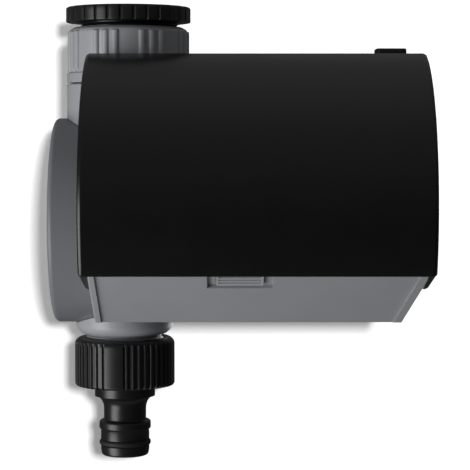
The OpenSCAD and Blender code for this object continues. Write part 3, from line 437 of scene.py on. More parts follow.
def make_lid():
    corner_point = (-59.0, -86.0)
    tip = rounded_outline([(-32.9, -85.0, 0), (-33.4, -92.4, 2.4), (*corner_point, 0)], 8)[1:-1]
    pin_eye = arc2((HINGE[0] + 0.6, HINGE[1]), 4.2, 35, -25, 10)
    round_the_valve = arc2((0, DRUM_Z), 35.5, 143, 202, 40)
    side = lid_skin(LID_R) + [(-25.2, -17.6)] + pin_eye + round_the_valve + tip + [corner_point]
    lid = prism("Lid", side, *LID_X, ends=LID_EDGE)
    beyond = [(LID_HEEL, -8.0), (12.0, -8.0), (12.0, -104.0), (-72.0, -104.0), (-72.0, LID_FOOT)]
    cuts = [prism("inside", lid_skin(LID_R - WALL) + beyond, *FLANGE_X)]
    cuts += [rod("pin_hole", 1.55, x, x + 5, (0, *HINGE), "x") for x in (-14.1, 93.5)]
    boolean(lid, cuts)
    bevel(lid, 0.35, 3, 50)
    piece(lid, "lid_black", "lid", ["lid"])
    hook = [(-61.4, -82.5), (-61.9, -80.5), (-57.6, -82.6), (-57.6, -83.6), (-58.6, -84.2), (-61.0, -84.2)]
    piece(prism("LidCatch", hook, 31.4, 43.4, inset=0.3, steps=3), "lid_black", "lid")


make_lid()

# ---------------------------------------------------------------- inlet: adapter ring and swivel nut
INLET_PITCH, OUTLET_PITCH, THREAD_H = 2.309, 1.814, 1.1
TAP_R, LOWER_THREAD_R = 12.06, 15.45
NUT_TOP, NUT_END, NUT_R = -6.8, -25.3, 20.0


def thread(z, t, pitch):
    """Height of a helical thread above its root at height z and angle t."""
    return THREAD_H * thread_wave(z / pitch - t / (2 * math.pi))


def adapter_shape(t, r, z):
    """Fluted rim, the tap's thread inside and the nut's thread outside."""
    if r > 20.2:
        p = (math.degrees(t) - 2) % 12
        d = min(p, 12 - p)
        groove = 0.55 * max(0.0, 1 - (d / 1.5) ** 2)
        lobe = 0.10 * (1 - ((p - 6) / 6) ** 2)
        return r - (groove - lobe + 0.10)
    if r < 12.9 and z > -9.2:
        return TAP_R + (THREAD_H - thread(z, t, INLET_PITCH) if -8.6 < z < -0.3 else 0)
    if 15.2 < r <= 16.6:
        return LOWER_THREAD_R + thread(z, t, INLET_PITCH)
    return r


def make_adapter():
    bore = [(TAP_R, -9.0), (12.4, -9.0), (12.4, -11.0), (8.5, -11.0), (8.5, -15.6)]
    lower = ramp((8.5, -15.6), (LOWER_THREAD_R, -15.6), 2)
    lower += ramp((LOWER_THREAD_R, -15.6), (16.55, -5.2), 34)
    rim = [(16.5, -5.15), (17.0, -5.1), (20.4, -5.1)] + arc2((20.5, -4.7), 0.4, -90, 0, 4)[1:]
    rim += ramp((20.9, -4.6), (20.9, -1.2), 4) + arc2((20.1, -0.8), 0.8, 0, 90, 5)
    mouth = ramp((20.0, 0.0), (13.0, 0.0), 4) + [(12.9, 0.0)] + ramp((12.5, -0.2), (12.5, -9.0), 34)
    adapter = lathe("AdapterRing", bore + lower + rim + mouth, 720, adapter_shape)
    piece(adapter, "black_plastic", "adapter", ["inlet_adapter"], angle=40)


def nut_shape(t, r, z):
    """Eight groups of three rounded ribs above the plain foot."""
    if r < NUT_R - 0.1 or z < NUT_END + 3.3:
        return r
    a = (math.degrees(t) + 90 + 19.0) % 45
    a = a - 45 if a > 22.5 else a
    d = min(abs(a - k) for k in (-9.8, 0.0, 9.8))
    fade = min(1.0, max(0.0, (z - (NUT_END + 3.4)) / 0.5))
    h = 0.75 * math.sqrt(max(0.0, 1 - (d / 3.1) ** 2)) if d < 3.1 else 0.0
    return r + h * fade


def make_nut():
    foot = [(14.8, NUT_END), (20.3, NUT_END)] + arc2((20.3, NUT_END + 0.35), 0.35, -90, 0, 4)
    side = [(20.65, -22.3), (20.5, -22.05), (NUT_R, -22.0)] + ramp((NUT_R, -21.9), (NUT_R, -9.0), 16)
    top = [(19.98, -8.9)] + arc2((17.95, -9.0), 2.05, 8, 80, 9)
    top += [(18.2, NUT_TOP), (17.9, NUT_TOP), (16.7, NUT_TOP - 0.8)]
    bore = ramp((16.66, -8.0), (16.66, -21.3), 8) + [(16.66, -21.3), (14.8, -21.3)]
    nut = lathe("SwivelNut", foot + side + top + bore, 900, nut_shape)
    piece(nut, "nut_grey", "swivel_nut", ["inlet_nut"], angle=30)


make_adapter()
make_nut()

# ---------------------------------------------------------------- outlet: hose connector with its nozzle
OUT = -1.6
AT_OUTLET = (OUT, 0, 0)
CONNECTOR_R, CONNECTOR_TOP, CONNECTOR_END = 16.85, -110.9, -127.3


def connector_shape(t, r, z):
    """Four fields of fine ribs with a plain strip between them."""
    if r < 15.0 or not -127.4 < z < -111.6:
        return r
    a = (math.degrees(t) + 90 + 9.6) % 90
    base = 0.0
    if 11.0 < a < 79.0:
        d = abs((a - 15.0 + 3.75) % 7.5 - 3.75)
        base = -0.62 + 0.66 * max(0.0, min(1.0, (2.0 - d) / 0.75))
        edge = min((a - 11.0) / 0.8, (79.0 - a) / 0.8, 1.0)
        base *= max(0.0, edge)
    fade = min(1.0, max(0.0, (-111.9 - z) / 1.2))
    return r + base * fade


def make_connector():
    tip = [(5.6, -151.2), (7.0, -151.3)] + arc2((7.0, -150.3), 1.0, -90, 0, 7)[1:]
    tip += [(8.15, -149.6), (8.2, -149.2)]
    groove = [(8.2, -147.95), (7.3, -147.95), (6.75, -147.4)]
    groove += [(6.75, -146.4), (7.3, -145.85), (8.2, -145.85)]
    rib = [(8.2, -143.1), (8.05, -142.7)] + arc2((7.85, -141.6), 0.9, -70, 0, 5)
    rib += arc2((7.85, -140.2), 0.9, 0, 80, 6)
    waist = [(7.3, -139.2), (7.15, -138.8)] + ramp((7.15, -138.6), (7.15, -135.7), 3)
    turns = [math.radians(a) for a in range(90, -1, -6)]
    flare = [(10.2 - 3.05 * math.sin(a), -135.6 + 4.6 * math.cos(a)) for a in turns]
    flare += [(10.2, -130.9), (10.2, CONNECTOR_END + 0.25), (10.45, CONNECTOR_END)]
    under = ramp((10.7, CONNECTOR_END), (15.6, CONNECTOR_END), 3)
    under += arc2((CONNECTOR_R - 0.9, CONNECTOR_END + 0.9), 0.9, -80, 0, 6)
    side = ramp((CONNECTOR_R, -126.0), (CONNECTOR_R, -113.6), 10)
    side += arc2((CONNECTOR_R - 2.4, CONNECTOR_TOP - 2.4), 2.4, 0, 88, 10)
    rim = [(14.2, CONNECTOR_TOP), (13.75, CONNECTOR_TOP - 0.1), (13.21, CONNECTOR_TOP - 0.6)]
    bore = ramp((13.21, -112.0), (13.21, -126.0), 4) + [(13.21, -126.0), (5.6, -126.0)]
    outline = tip + groove + rib + waist + flare + under + side + rim + bore
    connector = lathe("HoseConnector", outline, 1080, connector_shape, AT_OUTLET)
    piece(connector, "black_plastic", "connector", ["hose_connector"], angle=30)


def make_nozzle_ring():
    turns = [a * math.pi / 12 for a in range(24)]
    section = [(7.75 + math.cos(a), -146.9 + math.sin(a)) for a in turns]
    ring = lathe("NozzleRing", section, 192, None, AT_OUTLET)
    piece(ring, "black_rubber", "connector", ["nozzle_ring"])


make_connector()
make_nozzle_ring()

# ---------------------------------------------------------------- valve: cap and body
DRUM_R, CAP_X0, BODY_X0, BODY_X1 = 34.3, -24.5, -9.9, 21.2
DRUM = (0, 0, DRUM_Z)
CAP_EDGE, FOOT_EDGE = 1.6, 0.35
# rings of screws about the drum's axis: how many, the first one's angle, the ring's radius
CAP_SCREWS, MOUNT_SCREWS, COIL_SCREWS = (8, 22.5, 28.3), (4, 45, 20), (3, 60, 10)


def drum_holes(screws, r, lo, hi, segs):
    """A hole of radius r, from x = lo to hi, for each screw of a ring about the drum's axis."""
    count, start, ring = screws
    out = []
    for k in range(count):
        t = math.radians(start + 360 / count * k)
        at = (0, ring * math.cos(t), DRUM_Z + ring * math.sin(t))
        out.append(rod("hole", r, lo, hi, at, "x", segs))
    return out


def make_cap():
    face = [(0, -23.7), (19.0, -23.7)] + arc2((19.0, -24.1), 0.4, 90, 0, 4)
    face += [(19.5, -24.35), (19.7, CAP_X0)]
    face += ramp((20.5, CAP_X0), (29.5, CAP_X0), 3) + [(31.0, CAP_X0 + 0.02)]
    rim = arc2((DRUM_R - CAP_EDGE, CAP_X0 + CAP_EDGE), CAP_EDGE, -84, 0, 10)
    rim += ramp((DRUM_R, -22.2), (DRUM_R, -10.9), 5)
    rim += arc2((DRUM_R - FOOT_EDGE, -10.75), FOOT_EDGE, 10, 90, 4)
    rim += [(33.6, -10.4), (33.6, -10.1), (31.6, -10.1)]
    inside = [(31.6, -11.5), (23.3, -11.5), (23.3, -21.5), (9.2, -21.5), (9.2, -22.5), (6.2, -22.5)]
    cap = lathe("ValveCap", face + rim + inside + [(6.2, -21.5), (0, -21.5)], 288, None, DRUM, "x")
    wells = drum_holes(CAP_SCREWS, 3.4, -26, -21.5, 48)
    boolean(cap, wells + drum_holes(CAP_SCREWS, 1.9, -22, -8, 32))
    bevel(cap, 0.3, 3, 50)
    return piece(cap, "cap_grey", "housing", ["valve_cap"], angle=30)


def outlet_shape(t, r, z):
    """The male thread for the hose connector."""
    if 13.0 < r < 13.3 and -122.4 < z < -110.2:
        return r - (THREAD_H - thread(z, t, OUTLET_PITCH))
    return r


def valve_bores():
    """The diaphragm chamber, the seat, the water's way in and out, and the screw holes."""
    bores = [rod("chamber", 34.5, CAP_X0 - 2, BODY_X0, DRUM, "x", 288)]
    steps = ((10.5, -19.5, -16), (9.0, -35, -16), (7.0, -59, -34))
    bores += [rod("neck_bore", r, lo, hi) for r, lo, hi in steps]
    bores += [rod("seat", 8.0, -11, 0.1, DRUM, "x"), rod("port", 4.5, -9.4, -0.4, (0, 0, -54.5), "x", 32)]
    bores += [rod("way_out", 7.0, -124, DRUM_Z, AT_OUTLET), rod("pilot", 0.6, -1, 24, DRUM, "x", 24)]
    ring = [(10.5, -11), (22.5, -11), (22.5, -7.7), (10.5, -7.7)]
    bores.append(lathe("ring_chamber", ring, 96, None, DRUM, "x"))
    bores += drum_holes(CAP_SCREWS, 1.72, -10.9, 1.5, 24)
    bores += drum_holes(MOUNT_SCREWS, 1.72, 11.2, 23.2, 24)
    return bores + drum_holes(COIL_SCREWS, 1.22, 13.2, 23.2, 24)


def make_valve_body():
    wall = [(0, BODY_X0), (33.5, BODY_X0), (33.9, BODY_X0 + 0.35), (33.9, BODY_X1 - 2.0)]
    wall += arc2((31.9, BODY_X1 - 2), 2, 8, 90, 8) + [(0, BODY_X1)]
    body = lathe("ValveBody", wall, 288, None, DRUM, "x")
    shoulder = [(0, -25.7), (20.1, -25.7)] + arc2((20.1, -26.3), 0.6, 80, 0, 6)
    neck = lathe("neck", shoulder + [(20.7, -40.0), (20.7, DRUM_Z), (0, DRUM_Z)], 288)
    clip_groove = [(14.6, -21.0), (13.4, -21.0), (13.4, -19.4), (14.6, -19.4)]
    tube = [(0, -27), (14.6, -27)] + clip_groove + [(14.6, -18.3), (14.3, -18.0), (0, -18.0)]
    spigot = lathe("spigot", tube, 192)
    bowl = [(0, DRUM_Z), (16.4, DRUM_Z), (16.4, -105.9)] + arc2((12.6, -106.0), 3.8, 0, -86, 12)
    bowl += [(12.6, -109.8), (12.3, -110.1)] + ramp((13.15, -110.3), (13.15, -122.6), 62)
    outlet = lathe("outlet", bowl + [(12.2, -123.0), (0, -123.0)], 360, outlet_shape, AT_OUTLET)
    boss = rod("boss", 2, BODY_X1 - 1, BODY_X1 + 1.6, DRUM, "x")
    boolean(body, [neck, spigot, outlet, boss], "UNION")
    boolean(body, valve_bores())
    bevel(body, 0.12, 1, 60)
    return piece(body, "body_grey", "housing", ["valve_body"], angle=30)


cap = make_cap()
valve_body = make_valve_body()

# ---------------------------------------------------------------- box shells
CASE_X0, CASE_X1, CHEEK, SHELL = -9.55, 95.35, 2.1, 2.2
CASE_R = LID_R - WALL - 0.45
SEAM_Y, SEAM_TOP, BOTTOM, TOP, BACK = -24.0, -28.9, -103.2, -18.0, 20.0
SLOPE_FRONT = (CURVE[0] - math.sqrt(CASE_R ** 2 - 19.5 ** 2), -86.2)
SLOPE_BACK = (-29.0, BOTTOM)
SLOPE_LEN = math.dist(SLOPE_FRONT, SLOPE_BACK)
SLOPE_DIR = tuple((b - a) / SLOPE_LEN for a, b in zip(SLOPE_FRONT, SLOPE_BACK))
FASCIA_Y, FASCIA_TOP, FASCIA_FOOT, BOARD_Y = -54.0, -42.0, -84.6, -47.5
FASCIA_BACK = FASCIA_Y + SHELL
BEVEL_Z, BEVEL_W, TUB_X0 = -86.0, 5.8, 21.6
DISPLAY, MANUAL, LED = (24.0, -58.0), (74.0, -63.0), (74.0, -47.5)
KEYS = {"mode": 4.0, "set": 17.0, "minus": 30.0, "plus": 43.0}
KEYS_Z, KEY_W, KEY_H = -77.0, 10.0, 6.0
LATCH_C, LATCH_W, LATCH_RUN = 37.4, 14.7, 7.4
POSTS = [(-3.8, -47), (86.5, -47), (-3.8, -81), (86.5, -81)]
SEAM_SCREW, DEEP_SCREWS = (16, -33.8), [(40, -33.6), (88.4, -33.6), (40, -95.5), (84, -95.5)]
SEAM_SCREWS = [SEAM_SCREW] + DEEP_SCREWS
SOCKET = (86.7, -14.0)
DOOR_PIN = (0, 21.8, -90.2)


def corner(a, b, c, r, n=6):
    """The arc that rounds the corner a-b-c."""
    return rounded_outline([(*a, 0), (*b, r), (*c, 0)], n)[1:-1]


def inward(p, d):
    """Point p of the sloping underside, moved d into the box."""
    return (p[0] - SLOPE_DIR[1] * d, p[1] + SLOPE_DIR[0] * d)


def slope_block(x, run, size, lift):
    """A block on the sloping underside: x along the box, run up the slope, lift into the box."""
    def at(r, h):
        return inward((SLOPE_FRONT[0] + r * SLOPE_DIR[0], SLOPE_FRONT[1] + r * SLOPE_DIR[1]), h)
    far, high = run + size[1], lift + size[2]
    quad = [at(run, lift), at(far, lift), at(far, high), at(run, high)]
    return prism("slope_block", quad, x, x + size[0])


def y_rod(r, x, z, y0, y1, segs=48):
    return rod("rod", r, y0, y1, (x, 0, z), "y", segs)


def through_fascia(outline, depth=4.0):
    """A cutter drawn in the fascia's plane, depth deep from its face."""
    return prism("cutter", outline, FASCIA_Y - 1, FASCIA_Y + depth, "xz")


def pill(w, h, cx=0.0, cz=0.0):
    """A w by h slot with half-round ends."""
    half = (w - h) / 2
    return arc2((cx + half, cz), h / 2, -90, 90, 16) + arc2((cx - half, cz), h / 2, 90, 270, 16)


def corner_cut(y0, y1, d=0.0):
    """What the slanted lower right corner removes, drawn d further in."""
    side, clear = CASE_X1 - BEVEL_W - d, CASE_X1 + 20
    edge = [(CASE_X1 - d, BEVEL_Z + 20), (CASE_X1 - d, BEVEL_Z), (side, BOTTOM)]
    low = [(side - BEVEL_W / 2, BOTTOM - 8.2), (clear, BOTTOM - 8.2)]
    return prism("corner_cut", [(clear, BEVEL_Z + 20)] + edge + low, y0, y1, "xz")


def front_outline():
    """Side view of the front shell, under the lid's curve."""
    top = arc2(CURVE, CASE_R, ang(CURVE, SLOPE_FRONT), ang(CURVE, HINGE), 90)
    eye = arc2(HINGE, 2.8, ang(CURVE, HINGE), -60, 12)
    foot = corner((SEAM_Y, BOTTOM), SLOPE_BACK, SLOPE_FRONT, 1.5, 8)
    return [(SEAM_Y, SEAM_TOP), (SEAM_Y, BOTTOM)] + foot + top + eye + [(-25.2, -28.2)]


def front_cavity(x0, x1):
    """The room between the fascia, the sloping underside and the seam."""
    f, b = inward(SLOPE_FRONT, 2.9), inward(SLOPE_BACK, 2.9)
    slope_z = f[1] + (FASCIA_BACK - f[0]) * SLOPE_DIR[1] / SLOPE_DIR[0]
    hollow = [(SEAM_Y + 2, -31), (SEAM_Y + 2, b[1]), b, (FASCIA_BACK, slope_z), (FASCIA_BACK, -43)]
    hollow += [(-34.5, -26.4), (-31.5, -25.4), (-29.5, -28), (-26.5, -31)]
    return boolean(prism("cavity", hollow, x0, x1), [corner_cut(-80, 0, CHEEK + 0.4)])


def front_bosses():
    """The screw bosses behind the fascia, kept clear of the underside's outer skin."""
    slope = [inward(SLOPE_BACK, 1.6), inward(SLOPE_FRONT, 1.6)]
    limit = [(SEAM_Y, -30), (SEAM_Y, BOTTOM + 1.5)] + slope + [(-50, -30)]
    bosses = []
    for p in SEAM_SCREWS:
        room = prism("limit", limit, CASE_X0 + 1, CASE_X1 - 1)
        bosses.append(boolean(y_rod(3.4, *p, -37, SEAM_Y), [room], "INTERSECT"))
    return bosses


def front_cuts():
    """The drum's seat, screw holes, the display's opening, key holes, pin holes and the latch pocket."""
    cuts = [rod("saddle", DRUM_R + 2.6, CASE_X0 - 1, TUB_X0 + SHELL + 0.3, DRUM, "x", 192)]
    cuts += [y_rod(1.42, *p, -34.5, -20.5, 24) for p in SEAM_SCREWS]
    cuts += [y_rod(1.02, *p, FASCIA_Y + 1.6, FASCIA_Y + 11.6, 24) for p in POSTS]
    cuts += [through_fascia(rect(46, 23, 1.5, *DISPLAY)), through_fascia(rect(50, 27, 2, *DISPLAY), 1.2)]
    cuts += [through_fascia(pill(KEY_W + 0.3, KEY_H + 0.3, x, KEYS_Z)) for x in KEYS.values()]
    cuts.append(y_rod(8.65, *MANUAL, FASCIA_Y - 1, FASCIA_Y + 4, 96))
    cuts.append(y_rod(1.55, *LED, FASCIA_Y - 1, FASCIA_Y + 4, 32))
    cuts += [rod("pin", 1.52, x, x + 7, (0, *HINGE), "x", 48) for x in (CASE_X0 - 1, CASE_X1 - 6)]
    pocket = slope_block(LATCH_C - 10.2, -6, (20.4, 15.2, 1.3), 0.6)
    window = slope_block(LATCH_C - LATCH_W / 2 - 0.2, -6, (LATCH_W + 0.4, 6.35 + LATCH_RUN, 5.5), 0.6)
    return cuts + [pocket, window]


def front_case():
    case = prism("FrontCase", front_outline(), CASE_X0, CASE_X1, inset=0.6, steps=4)
    x0, x1 = CASE_X0 + CHEEK, CASE_X1 - CHEEK
    face = [(-80, FASCIA_FOOT), (FASCIA_Y, FASCIA_FOOT), (FASCIA_Y, FASCIA_TOP), (-36, -24.8), (-33.4, -21)]
    recess = prism("recess", face + [(-40, 0), (-80, 0)], x0, x1)
    panel = boolean(slope_block(x0, -4, (x1 - x0, SLOPE_LEN + 20, 3.7), -3), [corner_cut(-80, 0, 2.6)])
    cavity = front_cavity(x0, x1)
    boolean(case, [recess, panel, corner_cut(-80, 0), cavity])
    bosses = front_bosses()
    posts = [y_rod(2.6, *p, FASCIA_Y + 1, BOARD_Y) for p in POSTS]
    guide = slope_block(LATCH_C - LATCH_W / 2 - 1.6, 1.2, (LATCH_W + 3.2, LATCH_RUN + 0.8, 3.4), 0.7)
    boolean(case, bosses + posts + [guide], "UNION")
    boolean(case, front_cuts())
    bevel(case, 0.28, 2, 50)
    return piece(case, "case_grey", "housing", ["front_case"], angle=35)


def tub_outline(d):
    """Side view of the rear shell, d inside its skin: square behind, coved at the top front for the lid."""
    low, high, back, top_y, r = BOTTOM + d, TOP - d, BACK - d, HINGE[0] + 6.9 + d, 4 - d * 0.9
    out = [(SEAM_Y, SEAM_TOP - d * 0.9), (SEAM_Y, low)]
    out += corner((SEAM_Y, low), (back, low), (back, high), r, 10)
    out += corner((back, low), (back, high), (top_y, high), r, 10)
    out += corner((back, high), (top_y, high), (top_y, TOP - 9), 1.2, 6)
    if d:
        return out + [(top_y, -28), (SEAM_Y + 2, -31)]
    return out + arc2(HINGE, 6.9, 0, -math.degrees(math.acos(4 / 6.9)), 16)


def rear_additions(x_in):
    """What is added to the tub: valve side, slanted corner, screw tubes, battery pocket, door barrel."""
    end = TUB_X0 + SHELL
    plate = block("plate", (CASE_X0, SEAM_Y, BOTTOM), (TUB_X0 + 1, SEAM_Y + 2, SEAM_TOP))
    before_seam = block("half", (CASE_X0, -60, BOTTOM + 0.1), (end, SEAM_Y + 2, SEAM_TOP))
    bulge = boolean(rod("bulge", DRUM_R + 2.4, CASE_X0, end, DRUM, "x", 192), [before_seam], "INTERSECT")
    slant_inner = [(x_in, BEVEL_Z + 4), (x_in - 0.4, BEVEL_Z), (x_in - BEVEL_W - 0.6, BOTTOM + 0.4)]
    slant_outline = [(CASE_X1, BEVEL_Z + 4)] + slant_inner + [(CASE_X1, BOTTOM + 0.4)]
    slant = prism("slant", slant_outline, SEAM_Y, BACK - 0.5, "xz")
    boolean(slant, [prism("tub", tub_outline(0), TUB_X0, CASE_X1)], "INTERSECT")
    tubes = [y_rod(4.2, *p, SEAM_Y, SEAM_Y + 12) for p in DEEP_SCREWS]
    tubes += [y_rod(4.6, *p, SEAM_Y + 11, BACK) for p in DEEP_SCREWS]
    pocket = block("pocket", (47.4, 0.2, -90.6), (83.6, BACK, -33.0))
    barrel = rod("barrel", 1.7, 59.8, 71.2, DOOR_PIN, "x", 48)
    web = block("web", (59.8, BACK - 1, -91.9), (71.2, 21.8, -90.2))
    return [plate, bulge, slant] + tubes + [pocket, barrel, web]


def rear_cuts():
    """Seats of drum, neck and coil, room for the cells and the door, pin, socket and screw holes."""
    cuts = [corner_cut(-80, 60), rod("saddle", DRUM_R + 0.3, CASE_X0 - 1, TUB_X0, DRUM, "x", 288)]
    cuts += [rod("neck", 21.25, -60, 0, segs=128), rod("coil", 13.4, TUB_X0 - 1, TUB_X0 + 4, DRUM, "x")]
    cuts += drum_holes(MOUNT_SCREWS, 1.9, TUB_X0 - 1, TUB_X0 + 4, 24)
    cuts.append(block("cells", (49, 1.8, -89), (82, BACK - SHELL, -34.6)))
    cuts.append(block("door", (49.5, 10, -88.8), (81.5, BACK + 1, -34.8)))
    cuts.append(rod("pin", 0.92, 59.5, 71.5, DOOR_PIN, "x", 32))
    cuts.append(y_rod(1.75, *SEAM_SCREW, SEAM_Y - 1, SEAM_Y + 4, 24))
    cuts.append(rod("socket", 3.3, -24, 0, (*SOCKET, 0)))
    cuts += [y_rod(1.75, *p, SEAM_Y - 1, 36, 24) for p in DEEP_SCREWS]
    return cuts + [y_rod(3.3, *p, SEAM_Y + 6, 42, 40) for p in DEEP_SCREWS]


def rear_case():
    x_in = CASE_X1 - SHELL
    case = prism("RearCase", tub_outline(0), TUB_X0, CASE_X1, inset=0.6, steps=4)
    seam_side = [(SEAM_Y - 1, -31), (SEAM_Y - 1, BOTTOM + SHELL)]
    hollow = seam_side + [p for p in tub_outline(SHELL) if p[0] > SEAM_Y + 0.5]
    boolean(case, [prism("hollow", hollow, TUB_X0 + SHELL, x_in)])
    boolean(case, rear_additions(x_in), "UNION")
    boolean(case, rear_cuts())
    bevel(case, 0.28, 2, 50)
    return piece(case, "case_grey", "housing", ["rear_case"], angle=35)


front_shell = front_case()
rear_shell = rear_case()


# ---------------------------------------------------------------- latch and keys
def make_latch():
    """Thumb pad with three grooves across it."""
    ob = slope_block(LATCH_C - LATCH_W / 2, 0.15, (LATCH_W, LATCH_RUN, 4.2), 0.75)
    x, size = LATCH_C - LATCH_W / 2 + 0.7, (LATCH_W - 1.4, 0.9, 2.0)
    boolean(ob, [slope_block(x, 1.2 + 2.0 * k, size, 0.0) for k in range(3)])
    ob.name = "Latch"
    bevel(ob, 0.15, 2, 50)
    return piece(ob, "nut_grey", "latch", ["lid_latch"])


MARK_H = 0.5
BARS = {"minus": [(2.6, 0.6)], "plus": [(2.6, 0.6), (0.6, 2.6)], "dot": [(0.9, 0.9)]}


def symbol(name, kind, cx, cz, y):
    """Thin raised pictogram: minus, plus, dot, power ring or drop."""
    if kind in BARS:
        parts = [prism("bar", rect(w, h, 0.2, cx, cz), y, y + MARK_H, "xz") for w, h in BARS[kind]]
        ob = parts[0] if len(parts) == 1 else boolean(parts[0], parts[1:], "UNION")
    elif kind == "ring":
        ob = boolean(y_rod(1.5, cx, cz, y, y + MARK_H), [y_rod(1.0, cx, cz, y - 1, y + 1)])
        stroke = prism("stroke", rect(0.45, 1.1, 0.15, cx, cz + 0.45), y, y + MARK_H, "xz")
        boolean(ob, [stroke], "UNION")
    else:
        turns = [2 * math.pi * i / 48 for i in range(48)]
        drop = [(cx + 2.1 * math.sin(t) * math.sin(t / 2) ** 1.4, cz + 2.6 * math.cos(t)) for t in turns]
        ob = prism("drop", drop, y, y + MARK_H, "xz")
    ob.name = name
    return ob


def small_key(name, x, kind):
    outline, flange = pill(KEY_W, KEY_H, x, KEYS_Z), pill(KEY_W + 2, KEY_H + 2, x, KEYS_Z)
    key = prism("Key_" + name, outline, FASCIA_Y - 1.3, FASCIA_BACK + 0.1, "xz", 0.55, 5)
    boolean(key, [prism("flange", flange, FASCIA_BACK + 0.05, FASCIA_BACK + 1.05, "xz")], "UNION")
    piece(key, "key_grey", "key_" + name, ["button_" + name])
    mark = symbol("Mark_" + name, kind, x, KEYS_Z, FASCIA_Y - 1.36)
    piece(mark, "white_plastic", "key_" + name)


def manual_key():
    """Round key with a dished face."""
    face, foot = FASCIA_Y - 1.6, FASCIA_BACK + 1.05
    dish = [(7.4 * k / 10, face + 0.5 - 0.45 * (k / 10) ** 2) for k in range(11)]
    side = arc2((7.7, face + 0.8), 0.8, -80, 0, 6) + [(8.5, FASCIA_BACK), (9.7, FASCIA_BACK + 0.05)]
    outline = dish + side + [(9.7, foot), (0, foot)]
    key = lathe("KeyManual", outline, 96, None, (MANUAL[0], 0, MANUAL[1]), "y")
    piece(key, "key_blue", "key_manual", ["button_manual"])
    mark = symbol("Mark_manual", "drop", *MANUAL, face + 0.32)
    piece(mark, "white_plastic", "key_manual")


latch = make_latch()
for name, kind in (("mode", "ring"), ("set", "dot"), ("minus", "minus"), ("plus", "plus")):
    small_key(name, KEYS[name], kind)
manual_key()

# ---------------------------------------------------------------- display and status light
SEGMENTS = {"0": "abcdef", "1": "bc", "3": "abgcd", "5": "afgcd", "6": "afgedc"}
LCD_Y = FASCIA_BACK + 0.3


def bar(x, z, w, h):
    """Segment of a digit: a strip with pointed ends."""
    u, v = w / 2, h / 2
    t = min(u, v)
    if w > h:
        low = [(x - u, z), (x - u + t, z - t), (x + u - t, z - t)]
        return low + [(x + u, z), (x + u - t, z + t), (x - u + t, z + t)]
    right = [(x, z - v), (x + t, z - v + t), (x + t, z + v - t)]
    return right + [(x, z + v), (x - t, z + v - t), (x - t, z - v + t)]


def digit(ch, x, z, w, h, t):
    """Seven-segment digit about (x, z), with segments w or h long and t thick."""
    side = w / 2 + t * 0.2
    places = {"a": (0, h, w, t), "d": (0, -h, w, t), "g": (0, 0, w, t)}
    places |= {"b": (side, h / 2, t, h), "c": (side, -h / 2, t, h)}
    places |= {"f": (-side, h / 2, t, h), "e": (-side, -h / 2, t, h)}
    return [bar(x + places[c][0], z + places[c][1], *places[c][2:]) for c in SEGMENTS[ch]]


def display_bars():
    """A time, a row of day bars and a short running time."""
    x, z = DISPLAY
    bars = []
    for k, ch in enumerate("0630"):
        bars += digit(ch, x - 12.5 + 7.2 * k + (3.2 if k > 1 else 0), z + 1.6, 4.2, 4.2, 0.9)
    bars += [bar(x - 0.1, z + 1.6 + s, 0.95, 1.0) for s in (-1.6, 1.6)]
    bars += [rect(3.6, 1.5, 0.3, x - 17.5 + 5.2 * k, z - 7.6) for k in range(7)]
    for k, ch in enumerate("15"):
        bars += digit(ch, x + 16.4 + 3.4 * k, z + 4.4, 1.9, 1.9, 0.5)
    return bars


def make_display():
    joined = bmesh.new()
    for outline in display_bars():
        mark = prism("mark", outline, LCD_Y - 0.06, LCD_Y - 0.01, "xz")
        joined.from_mesh(mark.data)
        bpy.data.objects.remove(mark)
    me = bpy.data.meshes.new("DisplayMarks")
    joined.to_mesh(me)
    joined.free()
    marks = bpy.data.objects.new("DisplayMarks", me)
    scene.collection.objects.link(marks)
    piece(marks, "ink", "housing")
    pane = rect(49.8, 26.8, 1.9, *DISPLAY)
    window = prism("DisplayWindow", pane, FASCIA_Y + 0.02, FASCIA_Y + 1.18, "xz", 0.2, 2)
    piece(window, "clear", "housing", ["display_window"])


def make_status_light():
    dome = [(0, FASCIA_Y - 0.6)] + arc2((0, FASCIA_Y + 0.9), 1.5, -90, 0, 10)[1:]
    stem = [(1.5, FASCIA_Y + 3.4), (1.9, FASCIA_Y + 3.45), (1.9, BOARD_Y - 0.2), (0, BOARD_Y - 0.2)]
    led = lathe("StatusLight", dome + stem, 48, None, (LED[0], 0, LED[1]), "y")
    piece(led, "red_plastic", "housing", ["status_led"])


make_display()
make_status_light()


# ---------------------------------------------------------------- battery door and rubber plug
def make_door():
    door = from_cad("battery_door", "BatteryDoor")
    bevel(door, 0.2, 2, 50)
    return piece(door, "case_grey", "battery_door", ["battery_door"], angle=35)


def make_plug():
    """Square tab with grip grooves, on a shank that fills the socket."""
    plug = prism("SensorPlug", rect(10, 10, 1.6, SOCKET[0], -15.4), -17.98, -14.48, "xy", 0.5, 4)
    shank = rod("shank", 2.5, -27, -17, (*SOCKET, 0))
    collar = rod("collar", 3.2, -20.1, -17, (*SOCKET, 0))
    boolean(plug, [shank, collar], "UNION")
    starts = [-20.6 + 1.71 * k for k in range(1, 5)]
    boolean(plug, [block("grip", (82.5, y, -15.1), (90.9, y + 0.5, -14.0)) for y in starts])
    bevel(plug, 0.12, 2, 50)
    piece(plug, "black_rubber", "sensor_plug", ["sensor_plug"])


door = make_door()
make_plug()

# ---------------------------------------------------------------- studio, in metres
WALL_Y, WALL_TOP, FLOOR_Z, FLOOR_FRONT = 0.050, 1.2, -0.34, -2.0
SWEEP_R, SWEEP_HALF = 0.12, 1.6
SWEEP_ALBEDO, SWEEP_GLOW = 0.9, 0.20
POWER = {"key": 8.6, "top": 0.12, "low": 0.07, "back": 5.0}
WALL_POWER, FLOOR_SUN = 11.5, 3.3
AMBIENT, SKY, GROUND = 0.045, 0.19, 0.15
OBJECT_AT = (0.04, -0.045, -0.095)


